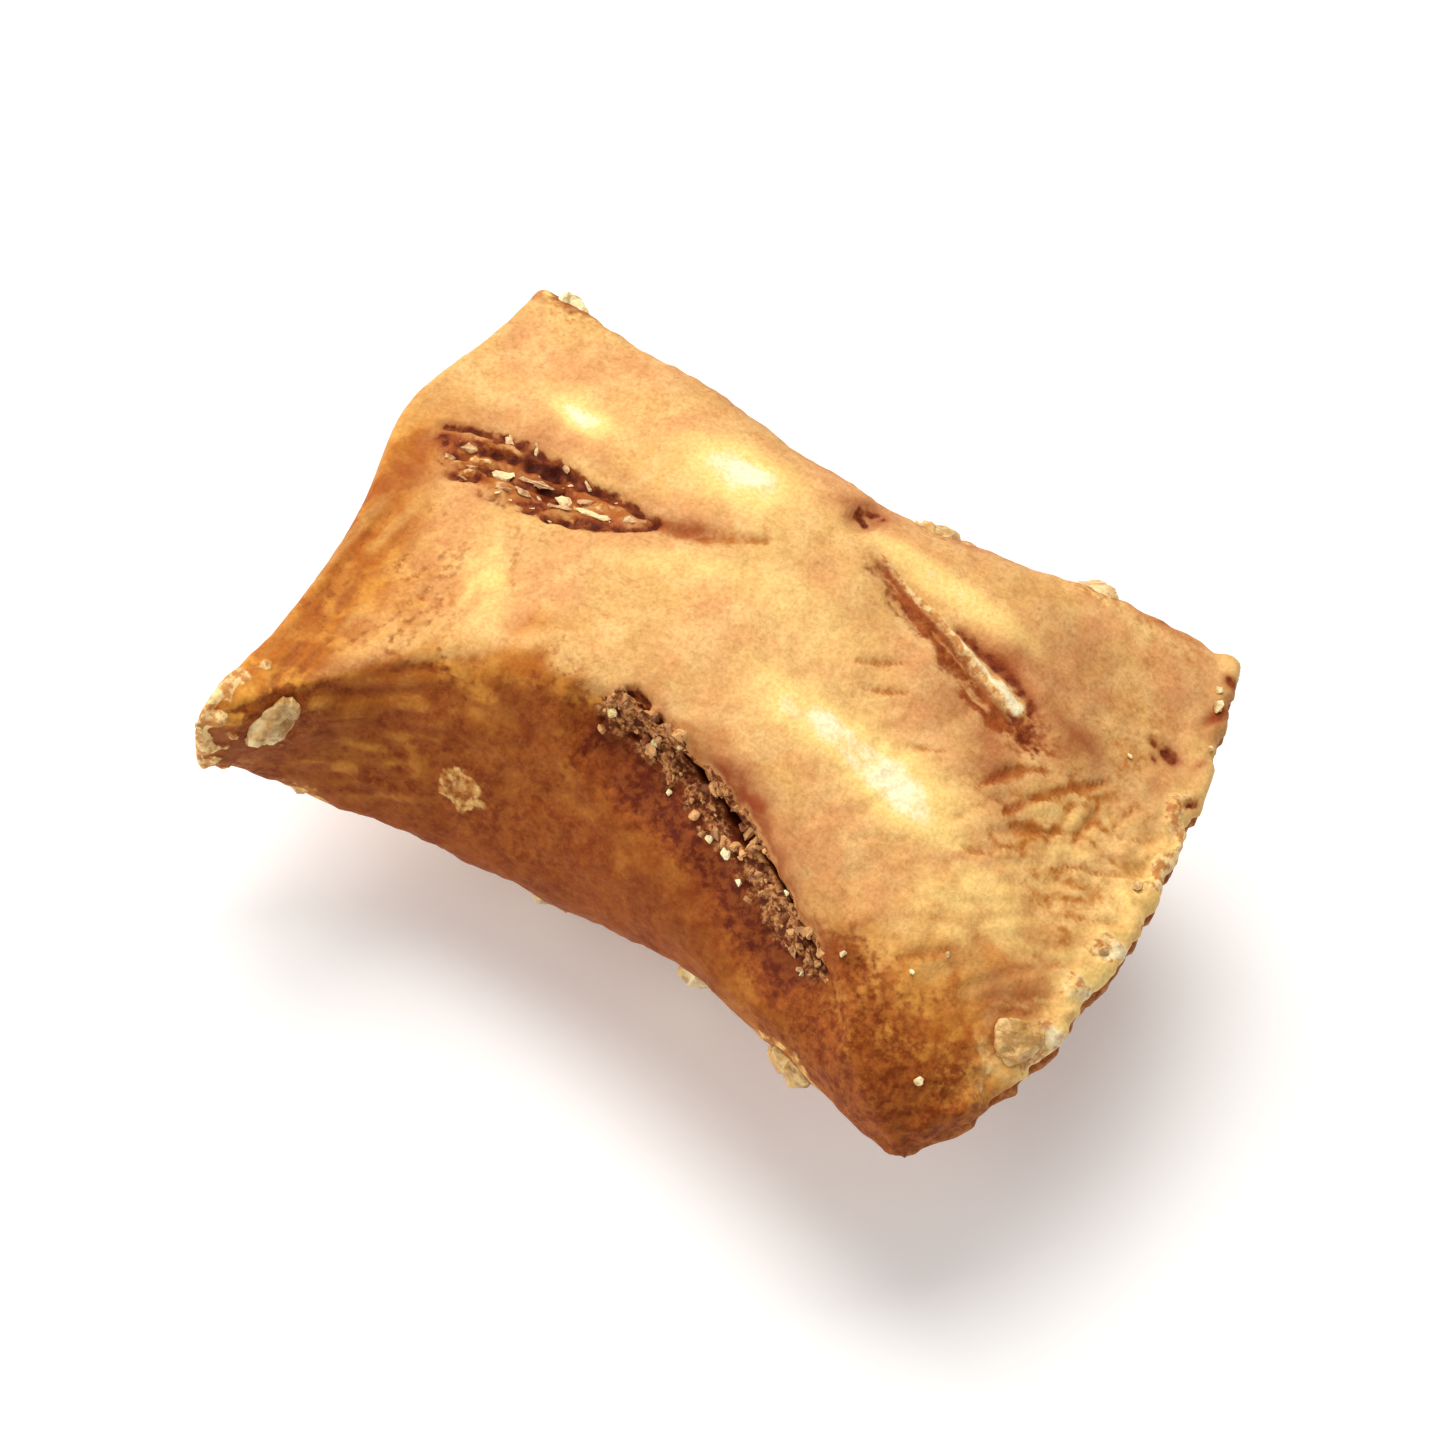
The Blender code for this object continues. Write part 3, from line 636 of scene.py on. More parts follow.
def crusty_groove(skin):
    """A broken, crumbly furrow along the front ridge, with black holes painted as shade under the belt face's
    edge.

    It gives back how strongly each point may carry loose crumbs.
    """
    at = beside(skin.points, GROOVE, GROOVE_FACING)
    left, share = at.left, at.share
    near = (at.gap < 2.4) * turned_towards(skin, GROOVE_FACING)
    near = near * fade((at.travelled + 0.3) / 0.9) * fade((1 - share) / 0.1)
    half_width = (0.85 + 0.3 * bump(share, 0.45, 0.3)) * near
    half_width = half_width + 0.22 * skin.grain(0.9, 51.0) + 0.12 * skin.grain(0.35, 52.0)
    inside = fade((half_width - np.abs(left + 0.12)) / 0.16) * near
    clumps = skin.grain(0.6, 60.0) + 0.7 * skin.grain(0.32, 61.0) + 0.35 * skin.grain(0.2, 63.0)
    holes = sum(line_strength(skin, hole, 0.14, GROOVE_FACING) for hole in GROOVE_HOLES)
    skin.raised += inside * (0.2 * clumps + 0.03) + 0.1 * bump(left, 1.3, 0.35) * near
    # The holes are sunk and painted black: painted shade.
    skin.mark(holes, raised=-0.75, scorch=1.3)
    skin.add("crust", inside)
    # Painted shade in the hollows between the clumps.
    deep = np.clip(-0.2 - 0.6 * clumps, 0, 0.55) * (1 - 0.7 * fade((share - 0.5) / 0.2))
    skin.add("scorch", inside * deep)
    border = bump(left, -half_width - 0.45, 0.85) * near
    skin.add("scorch", border * np.clip(0.66 + 0.12 * skin.grain(0.8, 64.0), 0, 0.75))
    skin.mark(border, toast=1.3, rust=0.3)
    # Painted shade on the belt face beside the furrow.
    shaded = fade((left - half_width + 0.2) / 0.2) * fade((half_width + 1.5 - left) / 1.5)
    shaded = 0.35 * shaded * fade(share * 3 - 0.6) + 0.4 * bump(left, half_width + 0.05, 0.2)
    skin.add("rust", shaded * near)
    return inside * (1 - np.clip(1.3 * holes, 0, 1)) * fade(clumps + 0.6)


def rusty_pits(skin):
    """The small pit by the back edge, the red-brown spots by the right back corner, and darkened patches, all
    partly painted shade.
    """
    pit = patch_strength(skin, PIT) * (1 + 0.4 * skin.roughness)
    skin.raised += 0.5 * skin.dent("pit")
    skin.mark(pit, raised=-0.12, rust=0.85)
    # The pit's dark middle is painted shade.
    skin.add("scorch", 0.75 * fade(1.9 * pit - 1.1))
    for spot in RUSTY_SPOTS:
        skin.mark(patch_strength(skin, spot), raised=-0.12, rust=1, scorch=0.7)
    uneven = 1 + 0.4 * skin.grain(0.8, 23.0)
    for patch in DARKENED_PATCHES:
        skin.add("rust", patch_strength(skin, patch) * uneven)


def pores(skin):
    """The crust's fine unevenness: small blisters and pores all over."""
    skin.raised += 0.034 * skin.grain(0.6, 81.0) + 0.02 * skin.grain(0.3, 83.0)


def cut_edges(skin):
    """Crumbly cut edges, more so on the right lip, where patches of pale crumb show."""
    y = skin.y
    broken = skin.grain(0.6, 91.0) + 0.3 * skin.grain(0.4, 92.0)
    skin.raised += (0.13 * bump(skin.from_right, 0.2, 0.9) + 0.04 * bump(skin.from_left, 0.2, 0.6)) * broken
    on_lip = fade((y + 8) / 3) * skin.up
    bare = bump(skin.from_right, 0, 0.9) * fade((skin.grain(1.0, 95.0) + 0.3 * broken - 0.05) / 0.3)
    skin.mark(bare * fade((8 - y) / 2) * on_lip, raised=0.06, crumb=0.7, pale=0.3)
    skin.add("pale", 0.3 * bump(skin.from_right, 0, 1.1) * on_lip)
    tip = fade((0.9 - skin.from_left + 0.4 * broken) / 0.4) * fade((-7.4 - y + 0.5 * broken) / 0.8)
    skin.raised += tip * (0.1 + 0.14 * broken)
    skin.add("crumb", 1.2 * tip)
    # Painted shade in the pits of the tip's crumb.
    skin.add("scorch", 0.4 * tip * fade((-0.25 - broken) / 0.3))
    # Painted shade on the crust beside and under the left tip.
    by_tip = bump(skin.from_left, 1.7, 1.0) * fade((-7.4 - y) / 0.8)
    skin.add("toast", 0.6 * by_tip * fade(0.6 - skin.facing_up))


def salt_beds(skin, sites):
    """A melted halo and a toasted ring with painted contact shadow round each grain, darker round the one by
    the left tip.
    """
    ragged = 0.12 * skin.grain(0.5, 111.0)
    for k, (point, _, length) in enumerate(sites):
        # The toasted ring's strength also paints the grain's contact shadow.
        melted, toasted, width = GRAIN_BED if k else TIP_GRAIN_BED
        gap = np.linalg.norm(skin.points - point, axis=-1) - 0.42 * length + ragged
        skin.add("melted", melted * bump(gap, 0.32, 0.28))
        skin.add("toast", toasted * bump(gap, 0.0, width))
        skin.raised += 0.05 * bump(gap, 0.2, 0.3)


def melted_patches(skin):
    """Flat pale discs where salt has melted into the crust."""
    ragged = 0.25 * skin.grain(0.7, 115.0) + 0.1 * skin.grain(0.3, 116.0)
    for point, radius in MELTED:
        gap = np.linalg.norm(skin.points - point, axis=-1) - radius + ragged
        disc = fade(-gap / 0.25)
        skin.add("melted", disc * np.clip(0.55 + 0.3 * bump(gap, -0.15, 0.15) + 0.4 * ragged, 0, 1))
        skin.add("toast", 0.5 * bump(gap, 0.08, 0.1))
        skin.raised += 0.04 * disc


def round_edges(skin, points):
    """Draw the last rows before a cut face together, so that its edge is rounded."""
    inward = HALF_LENGTH * (1 - np.abs(skin.u))
    middle = (points + np.roll(points[:, ::-1], 1, axis=1)) / 2
    short = np.clip(1 - inward / EDGE_ROUNDING, 0, 1)
    pinch = 1 - (1 - np.sqrt(1 - short**2)) * EDGE_ROUNDING / HALF_LIP * EDGE_CLOSING
    return middle + (points - middle) * pinch[..., None]


def break_lip(skin, points):
    """Notch the outline of the right lip."""
    across = skin.points * (0, 1, 0)
    notches = lumps(across + 121.0, 0.9, 1.6) + lumps(across + 122.0, 0.4, 0.8)
    points[..., 0] += NOTCH_DEPTH * np.clip(notches, -1.2, 0.5) * fade(1 - skin.from_right / 1.4)
    return points


def fine_points(skin):
    """The finished crust's points, flat where the nugget rests."""
    points = round_edges(skin, skin.points + skin.normals * skin.raised[..., None])
    points = break_lip(skin, points)
    points[..., 2] = np.maximum(points[..., 2], -ROPE_MIDDLE[2])
    return points


def cut_face_row(corners, source, top, bottom, inward):
    """A row of corners from the upper to the lower edge of a cut face, creased along its middle."""
    row = [top]
    for k in range(1, CUT_FACE_ROWS if top != bottom else 1):
        share = k / CUT_FACE_ROWS
        uneven = noise.noise(Vector(corners[top]) * 2 + Vector((0, 0, k)))
        crease = np.array((inward * (0.25 * bump(share, 0.5, 0.16) + 0.06 * uneven), 0, 0))
        corners.append(corners[top] * (1 - share) + corners[bottom] * share + crease)
        source.append(top if share < 0.5 else bottom)
        row.append(len(corners) - 1)
    return row + [bottom]


def cut_face(corners, source, spokes, i):
    """The faces that close the grid's first or last section."""
    first = i == 0
    strips = [cut_face_row(corners, source, i * spokes + j, i * spokes + (-j) % spokes, 1 if first else -1)
              for j in range(spokes // 2 + 1)]
    faces = []
    for row, following in zip(strips, strips[1:]):
        for k in range(CUT_FACE_ROWS):
            near = [row[min(k + step, len(row) - 1)] for step in (0, 1)]
            far = [following[min(k + step, len(following) - 1)] for step in (1, 0)]
            face = tuple(dict.fromkeys(near + far))
            if len(face) > 2:
                faces.append(face if first else face[::-1])
    return faces


def crust_mesh(skin, points):
    """A closed mesh over the grid, with the painted masks as attributes."""
    stations, spokes = points.shape[:2]
    corners = list(points.reshape(-1, 3))
    source = list(range(len(corners)))
    i, j = np.meshgrid(np.arange(stations - 1), np.arange(spokes), indexing="ij")
    here, there = i * spokes + j, i * spokes + (j + 1) % spokes
    faces = np.stack([here, there, there + spokes, here + spokes], axis=-1).reshape(-1, 4).tolist()
    for end in (0, stations - 1):
        faces += cut_face(corners, source, spokes, end)
    mesh = bpy.data.meshes.new("crust")
    placed = (np.array(corners) + np.array(ROPE_MIDDLE)) * MILLIMETRE
    mesh.from_pydata(placed.tolist(), [], faces)
    for name in Skin.MASKS:
        write_mask(mesh, name, skin.paint[name].reshape(-1)[np.array(source)])
    mesh.shade_smooth()
    return mesh


def write_mask(mesh, name, values):
    mask = mesh.attributes.new(name, "FLOAT", "POINT")
    mask.data.foreach_set("value", np.asarray(values, dtype=np.float32))


# ---- salt
def salt_sites(points, normals):
    """Where the CAD body's grains sit, as a point, a normal and a length, the largest first."""
    draw = random.Random(SALT_SEED)
    spot = points[points[..., 2] < points[..., 2].min() + 0.001].mean(axis=0)
    sites = []
    for place, length in (TIP_GRAIN, LIP_GRAIN):
        nearest = np.argmin(np.linalg.norm(points - np.array(place), axis=-1))
        i, j = np.unravel_index(nearest, points.shape[:2])
        sites.append((points[i, j], normals[i, j], length))
    facing = np.degrees(np.arctan2(normals[..., 2], normals[..., 1]))
    salted = (facing > SALTED_NORMALS[0]) & (facing < SALTED_NORMALS[1])
    salted &= np.hypot(points[..., 0] - spot[0], points[..., 1] - spot[1]) > SALT_FREE_RADIUS
    salted &= np.abs(points[..., 0]) < HALF_LENGTH - SALT_FREE_LIP
    places = np.argwhere(salted)
    for k in range(SCATTERED_GRAINS):
        share = (k / SCATTERED_GRAINS) ** GRAIN_SIZE_POWER
        length = LARGEST_GRAIN + (SMALLEST_GRAIN - LARGEST_GRAIN) * share
        tries = [tuple(places[draw.randrange(len(places))]) for _ in range(SCATTER_TRIES)]
        room = [min(math.dist(points[t], point) - size / 2 for point, _, size in sites) for t in tries]
        best = tries[room.index(max(room))]
        sites.append((points[best], normals[best], length))
    return sites


def keep_hull(bm):
    """Close loose points with their convex hull, and drop those inside it."""
    hull = bmesh.ops.convex_hull(bm, input=bm.verts)
    bmesh.ops.delete(bm, geom=list(set(hull["geom_interior"] + hull["geom_unused"])), context="VERTS")


def grain_hull(draw, length):
    """The CAD grain's blocky hull."""
    bm = bmesh.new()
    for k in range(GRAIN_CORNERS):
        height = 1 - (2 * k + 1) / GRAIN_CORNERS
        turn = k * GOLDEN_ANGLE + draw.uniform(-GRAIN_CORNER_SHIFT, GRAIN_CORNER_SHIFT)
        level = math.sqrt(1 - height * height)
        corner = Vector((level * math.cos(turn), level * math.sin(turn), height))
        blocky = [math.copysign(abs(c) ** GRAIN_BLOCKINESS, c) for c in corner]
        size = 0.5 * length * MILLIMETRE * draw.uniform(1 - GRAIN_CORNER_IN, 1)
        bm.verts.new([c * size * share for c, share in zip(blocky, GRAIN_PROPORTIONS)])
    keep_hull(bm)
    return bm


def set_down(bm, turn, point):
    """Turn a body, move its middle to a point, and give back that place in the CAD frame, in metres."""
    place = (point + Vector(ROPE_MIDDLE)) * MILLIMETRE
    bm.transform(Matrix.Translation(place) @ turn)
    return place


class Pieces:
    """Many small closed bodies gathered into one mesh, with a tone and a centre mask at each point."""

    def __init__(self, name):
        self.name = name
        self.joined = bmesh.new()
        self.tone = self.joined.verts.layers.float.new("tone")
        self.centre = self.joined.verts.layers.float.new("centre")

    def take(self, bm, tone, centre=None):
        """Take a body in; centre gives the mask from each of its points."""
        copies = {}
        for vertex in bm.verts:
            copies[vertex] = self.joined.verts.new(vertex.co)
            copies[vertex][self.tone] = tone
            copies[vertex][self.centre] = centre(vertex.co) if centre else 0.0
        for face in bm.faces:
            self.joined.faces.new([copies[v] for v in face.verts])
        bm.free()

    def mesh(self):
        mesh = bpy.data.meshes.new(self.name)
        self.joined.to_mesh(mesh)
        self.joined.free()
        return mesh


def coarse_salt(sites):
    """The CAD body's grains with a broken crystal surface, soiled in the middle of their outer side."""
    draw = random.Random(SALT_SEED + 1)
    tones = random.Random(SALT_SEED + 2)
    salt = Pieces("coarse_salt")
    for k, (point, normal, length) in enumerate(sites):
        bm = grain_hull(draw, length)
        up = Vector(normal)
        lean = [draw.uniform(-GRAIN_TILT, GRAIN_TILT) for _ in range(2)]
        tilt = Euler((*lean, draw.uniform(0, math.tau)))
        turn = up.to_track_quat("Z", "Y") @ tilt.to_quaternion()
        roughen(bm, SALT_CUTS, length)
        place = set_down(bm, turn.to_matrix().to_4x4(), Vector(point) - up * GRAIN_SUNK * length)
        if k < len(END_GRAIN_TONES):
            outer, soiled, tone = (up + END_GRAIN_LEAN).normalized(), END_GRAIN_SOIL, END_GRAIN_TONES[k]
        else:
            outer, soiled, tone = up, tones.uniform(0, 0.5), tones.uniform(0.1, 1.0)
        top = place + outer * SOIL_PLACE * length * MILLIMETRE
        reach = SOIL_REACH * length * MILLIMETRE
        salt.take(bm, tone, lambda co: soiled * math.exp(-((co - top).length / reach) ** 2))
    return salt.mesh()


def roughen(bm, cuts, length):
    """Round a hull's corners a little and give it a broken surface."""
    bmesh.ops.subdivide_edges(bm, edges=bm.edges, cuts=cuts, use_grid_fill=True)
    bmesh.ops.smooth_vert(bm, verts=bm.verts, factor=0.25, use_axis_x=True, use_axis_y=True, use_axis_z=True)
    bm.normal_update()
    coarseness = min(0.55, 0.4 * length)
    for vertex in bm.verts:
        spot = vertex.co / MILLIMETRE + Vector((length * 7, 0, 0))
        rough = 0.16 * noise.noise(spot / coarseness) + 0.1 * noise.noise(spot / coarseness * 2.5)
        vertex.co += vertex.normal * rough * coarseness * (1 + 0.35 * length) * MILLIMETRE


# ---- crumbs
CRUMB_SEED = 5
GROOVE_CRUMBS = 150
CRUMBLY = 0.35  # how crumbly the groove has to be for a crumb to lie there
DUST_GRAINS = 130
DUSTED_NORMALS = (-148, -20)  # as angles round the rope, like those of the flats
DUST_CLEARANCE = 2  # over the floor
Crystal = namedtuple("Crystal", "place length tone")
CRYSTALS = rows(
    Crystal,
    ((-2.4, -3.2, 2.1), 0.55, 0.9), ((-0.8, -3.15, 1.75), 0.42, 0.95), ((0.0, -3.15, 2.2), 0.3, 0.9),
    ((0.3, -4.05, 0.8), 0.34, 0.95), ((2.2, -4.7, 0.75), 0.4, 0.8), ((2.9, -4.8, 0.8), 0.65, 1.0),
    ((3.6, -5.4, 0.45), 0.4, 0.95), ((5.3, -5.6, 1.4), 0.34, 0.9), ((6.7, -6.8, 0.0), 0.36, 0.8),
    ((13.1, 9.05, 0.6), 0.7, 0.75), ((12.9, 9.5, 0.7), 0.42, 1.0), ((13.65, 7.4, 0.7), 0.4, 0.8),
    ((11.8, 5.35, 1.5), 0.3, 0.8), ((10.4, -4.5, 1.45), 0.3, 0.75), ((9.8, -5.6, 1.25), 0.36, 0.7),
    ((7.7, -6.4, 1.45), 0.42, 0.85), ((6.8, -6.85, 0.0), 0.36, 0.9), ((11.5, -7.95, -0.3), 0.42, 0.7),
    ((14.05, 1.5, 0.3), 0.55, 0.5), ((14.3, -1.05, 0.2), 0.6, 0.5),
)
# Flakes of crumb in the torn dent: middle in plan, length, width, turn in degrees, and tone.
Flake = namedtuple("Flake", "x y length width turn tone")
TORN_FLAKES = rows(
    Flake,
    (-10.0, 2.88, 1.1, 0.5, 10, 0.95), (-8.95, 3.15, 1.3, 0.26, 15, 0.55), (-7.8, 2.65, 1.0, 0.6, 30, 0.9),
    (-7.15, 3.0, 0.6, 0.4, 30, 0.3), (-6.45, 2.66, 1.9, 0.38, 20, 0.9), (-5.5, 2.9, 0.7, 0.28, 24, 0.45),
    (-8.8, 2.3, 1.2, 0.35, 5, 0.4), (-9.7, 2.0, 1.2, 0.35, 0, 0.35), (-7.6, 2.2, 0.9, 0.3, 15, 0.4),
    (-10.45, 4.15, 0.6, 0.28, -50, 0.65), (-9.5, 4.1, 0.6, 0.26, -60, 0.65),
    (-8.35, 4.0, 0.5, 0.28, -40, 0.6), (-7.4, 3.7, 0.5, 0.25, -20, 0.45), (-11.4, 3.1, 0.8, 0.4, 20, 0.45),
    (-10.9, 2.5, 0.7, 0.4, -30, 0.35), (-11.8, 2.6, 0.6, 0.3, 40, 0.3),
)
SMALL_FLAKES = 16


def nearest_on(points, normals, place):
    """The fine point nearest a place, and its normal. A place without a height is on the upper side."""
    if len(place) == 2:
        gap = np.hypot(points[..., 0] - place[0], points[..., 1] - place[1]) + 100.0 * (normals[..., 2] < 0)
    else:
        gap = np.linalg.norm(points - np.array(place), axis=-1)
    found = np.unravel_index(np.argmin(gap), gap.shape)
    return Vector(points[found]), Vector(normals[found])


def small_grain(draw, length, shape=(1.0, 0.85, 0.75), cuts=1, corners=12):
    """A small angular grain."""
    bm = bmesh.new()
    for _ in range(corners):
        corner = Vector([draw.gauss(0, 1) for _ in range(3)]).normalized()
        size = 0.5 * length * MILLIMETRE * draw.uniform(0.7, 1.0)
        bm.verts.new([c * size * share for c, share in zip(corner, shape)])
    keep_hull(bm)
    roughen(bm, cuts, length)
    return bm


def lay(bm, draw, point, normal, height):
    """Set a grain down on the crust, its middle at a height in millimetres over the point."""
    turn = Euler([draw.uniform(0, math.tau) for _ in range(3)]).to_matrix().to_4x4()
    set_down(bm, turn, point + normal * height)
    return bm


def scatter(draw, points, normals, chosen, count):
    """Random points with their normals, among the chosen ones."""
    places = np.argwhere(chosen)
    for _ in range(count):
        found = tuple(places[draw.randrange(len(places))])
        yield Vector(points[found]), Vector(normals[found])


def groove_crumbs(points, normals, strength):
    """Broken brown crumbs along the furrow."""
    draw = random.Random(CRUMB_SEED)
    crumbs = Pieces("groove_crumbs")
    for point, normal in scatter(draw, points, normals, strength > CRUMBLY, GROOVE_CRUMBS):
        length = 0.22 + 0.6 * draw.random() ** 2
        bm = small_grain(draw, length, (1.0, 0.8, 0.6), 2, 9)
        crumbs.take(lay(bm, draw, point, normal, -0.04 * length), draw.random())
    return crumbs.mesh()


def fine_salt(points, normals):
    """Small crystals at known places, and salt dust over the salted side."""
    draw = random.Random(CRUMB_SEED + 1)
    salt = Pieces("fine_salt")
    for crystal in CRYSTALS:
        point, normal = nearest_on(points, normals, crystal.place)
        bm = lay(small_grain(draw, crystal.length), draw, point, normal, 0.16 * crystal.length)
        salt.take(bm, crystal.tone)
    facing = np.degrees(np.arctan2(normals[..., 2], normals[..., 1]))
    dusted = (facing > DUSTED_NORMALS[0]) & (facing < DUSTED_NORMALS[1])
    dusted &= points[..., 2] > DUST_CLEARANCE - ROPE_MIDDLE[2]
    for point, normal in scatter(draw, points, normals, dusted, DUST_GRAINS):
        length = 0.16 + 0.34 * draw.random() ** 3
        bm = lay(small_grain(draw, length), draw, point, normal, 0.1 * length)
        salt.take(bm, draw.uniform(0.3, 1.0))
    return salt.mesh()


def torn_flakes(points, normals):
    """Pale flakes of crumb in the torn dent: the larger ones in place, small ones between them."""
    draw = random.Random(CRUMB_SEED + 2)
    flakes = Pieces("torn_crumb")
    for flake in TORN_FLAKES + tuple(small_flakes(draw)):
        shape = (1.0, flake.width / flake.length, 0.5 * flake.width / flake.length)
        bm = small_grain(draw, flake.length * 1.2, shape, 3 if flake.length > 0.55 else 2, 9)
        point, normal = nearest_on(points, normals, (flake.x, flake.y))
        turn = normal.to_track_quat("Z", "Y").to_matrix().to_4x4()
        turn = turn @ Matrix.Rotation(heading_on(turn, flake.turn), 4, "Z")
        set_down(bm, turn, point + normal * 0.1 * flake.width)
        flakes.take(bm, flake.tone)
    return flakes.mesh()


def heading_on(turn, heading):
    """The turn about a frame's own Z that points its X along a heading in plan."""
    heading = math.radians(heading)
    wanted = turn.to_3x3().inverted() @ Vector((math.cos(heading), math.sin(heading), 0))
    return math.atan2(wanted.y, wanted.x)


def small_flakes(draw):
    """Random small flakes along the torn dent, paler towards its right."""
    for _ in range(SMALL_FLAKES):
        k = draw.randrange(len(TORN) - 1)
        share = draw.random()
        x, y = (a + (b - a) * share for a, b in zip(TORN[k], TORN[k + 1]))
        reach = TORN_WIDTHS[k] + (TORN_WIDTHS[k + 1] - TORN_WIDTHS[k]) * share
        length = 0.18 + 0.35 * draw.random() ** 2
        tone = 0.1 + 0.4 * draw.random() + 0.25 * fade((x + 11) / 3)
        y += reach * draw.uniform(-0.95, 0.95)
        yield Flake(x, y, length, length * draw.uniform(0.3, 0.6), draw.uniform(-20, 50), float(tone))


# ---- materials
class Nodes:
    """A small helper that adds and links shader nodes."""

    def __init__(self, name):
        self.material = bpy.data.materials.new(name)
        self.material.use_nodes = True
        self.tree = self.material.node_tree
        self.shader = self.tree.nodes["Principled BSDF"]

    def link(self, value, socket):
        if isinstance(value, bpy.types.NodeSocket):
            self.tree.links.new(value, socket)
        else:
            socket.default_value = value

    def add(self, kind, inputs, output, **settings):
        """Add a node with the given settings and inputs, for one of its outputs."""
        node = self.tree.nodes.new("ShaderNode" + kind)
        for name, setting in settings.items():
            setattr(node, name, setting)
        for name, value in inputs.items():
            self.link(value, node.inputs[name])
        return node.outputs[output]

    def finish(self, **inputs):
        """Set the shader's inputs and give back the material."""
        for name, value in inputs.items():
            self.link(value, self.shader.inputs[name.replace("_", " ")])
        return self.material

    def mask(self, name):
        return self.add("Attribute", {}, "Fac", attribute_name=name)

    def noise(self, size, detail=2.0, roughness=0.5, distortion=0.0):
        """Noise of about the given size in millimetres."""
        inputs = {"Vector": self.add("TexCoord", {}, "Object"), "Scale": 1 / (size * MILLIMETRE),
                  "Detail": detail, "Roughness": roughness, "Distortion": distortion}
        return self.add("TexNoise", inputs, "Fac")

    def ramp(self, value, low, high, to_low=0.0, to_high=1.0):
        inputs = {"Value": value, "From Min": low, "From Max": high, "To Min": to_low, "To Max": to_high}
        return self.add("MapRange", inputs, "Result", interpolation_type="SMOOTHSTEP")

    def plus(self, a, b):
        return self.add("Math", {0: a, 1: b}, 0, operation="ADD")

    def times(self, a, b):
        return self.add("Math", {0: a, 1: b}, 0, operation="MULTIPLY")

    def mix(self, factor, a, b, blend="MIX"):
        return self.add("Mix", {"Factor": factor, 6: a, 7: b}, 2, data_type="RGBA", blend_type=blend)

    def tones(self, value, low, high, dark, light):
        """A colour between two, as the value runs from low to high."""
        return self.mix(self.ramp(value, low, high), colour(*dark), colour(*light))

    def bump(self, height, distance, strength=1.0):
        inputs = {"Strength": strength, "Distance": distance * MILLIMETRE, "Height": height}
        return self.add("Bump", inputs, "Normal")


def colour(red, green, blue):
    """A colour from its 0-255 screen values."""
    channels = [c / 255 for c in (red, green, blue)]
    return [c / 12.92 if c <= 0.04045 else ((c + 0.055) / 1.055) ** 2.4 for c in channels] + [1.0]


def baked_dough(n, broad, soft, granular):
    """The wall's brown, toasting darkened further as painted shade, the dome's tan and the belt face's pale
    gold, by their masks.
    """
    little = n.times(granular, 0.3)
    # Painted shade: the wall's brown is much darker than the dome's tan, which is the crust's own colour.
    wall = n.tones(soft, 0.36, 0.64, (126, 51, 15), (149, 71, 22))
    wall = n.mix(little, wall, colour(182, 116, 54))
    tan = n.tones(soft, 0.36, 0.64, (178, 104, 56), (212, 144, 88))
    tan = n.mix(n.ramp(broad, 0.5, 0.72, 0.0, 0.7), tan, colour(146, 76, 32))
    tan = n.mix(little, tan, colour(226, 166, 104))
    belt = n.tones(broad, 0.38, 0.62, (226, 166, 106), (229, 181, 110))
    belt = n.mix(n.ramp(soft, 0.4, 0.68, 0.0, 0.55), belt, colour(243, 203, 137))
    belt = n.mix(n.ramp(granular, 0.45, 1.0, 0.0, 0.4), belt, colour(208, 148, 90))
    return n.mix(n.mask("belt"), n.mix(n.mask("dome"), wall, tan), belt)


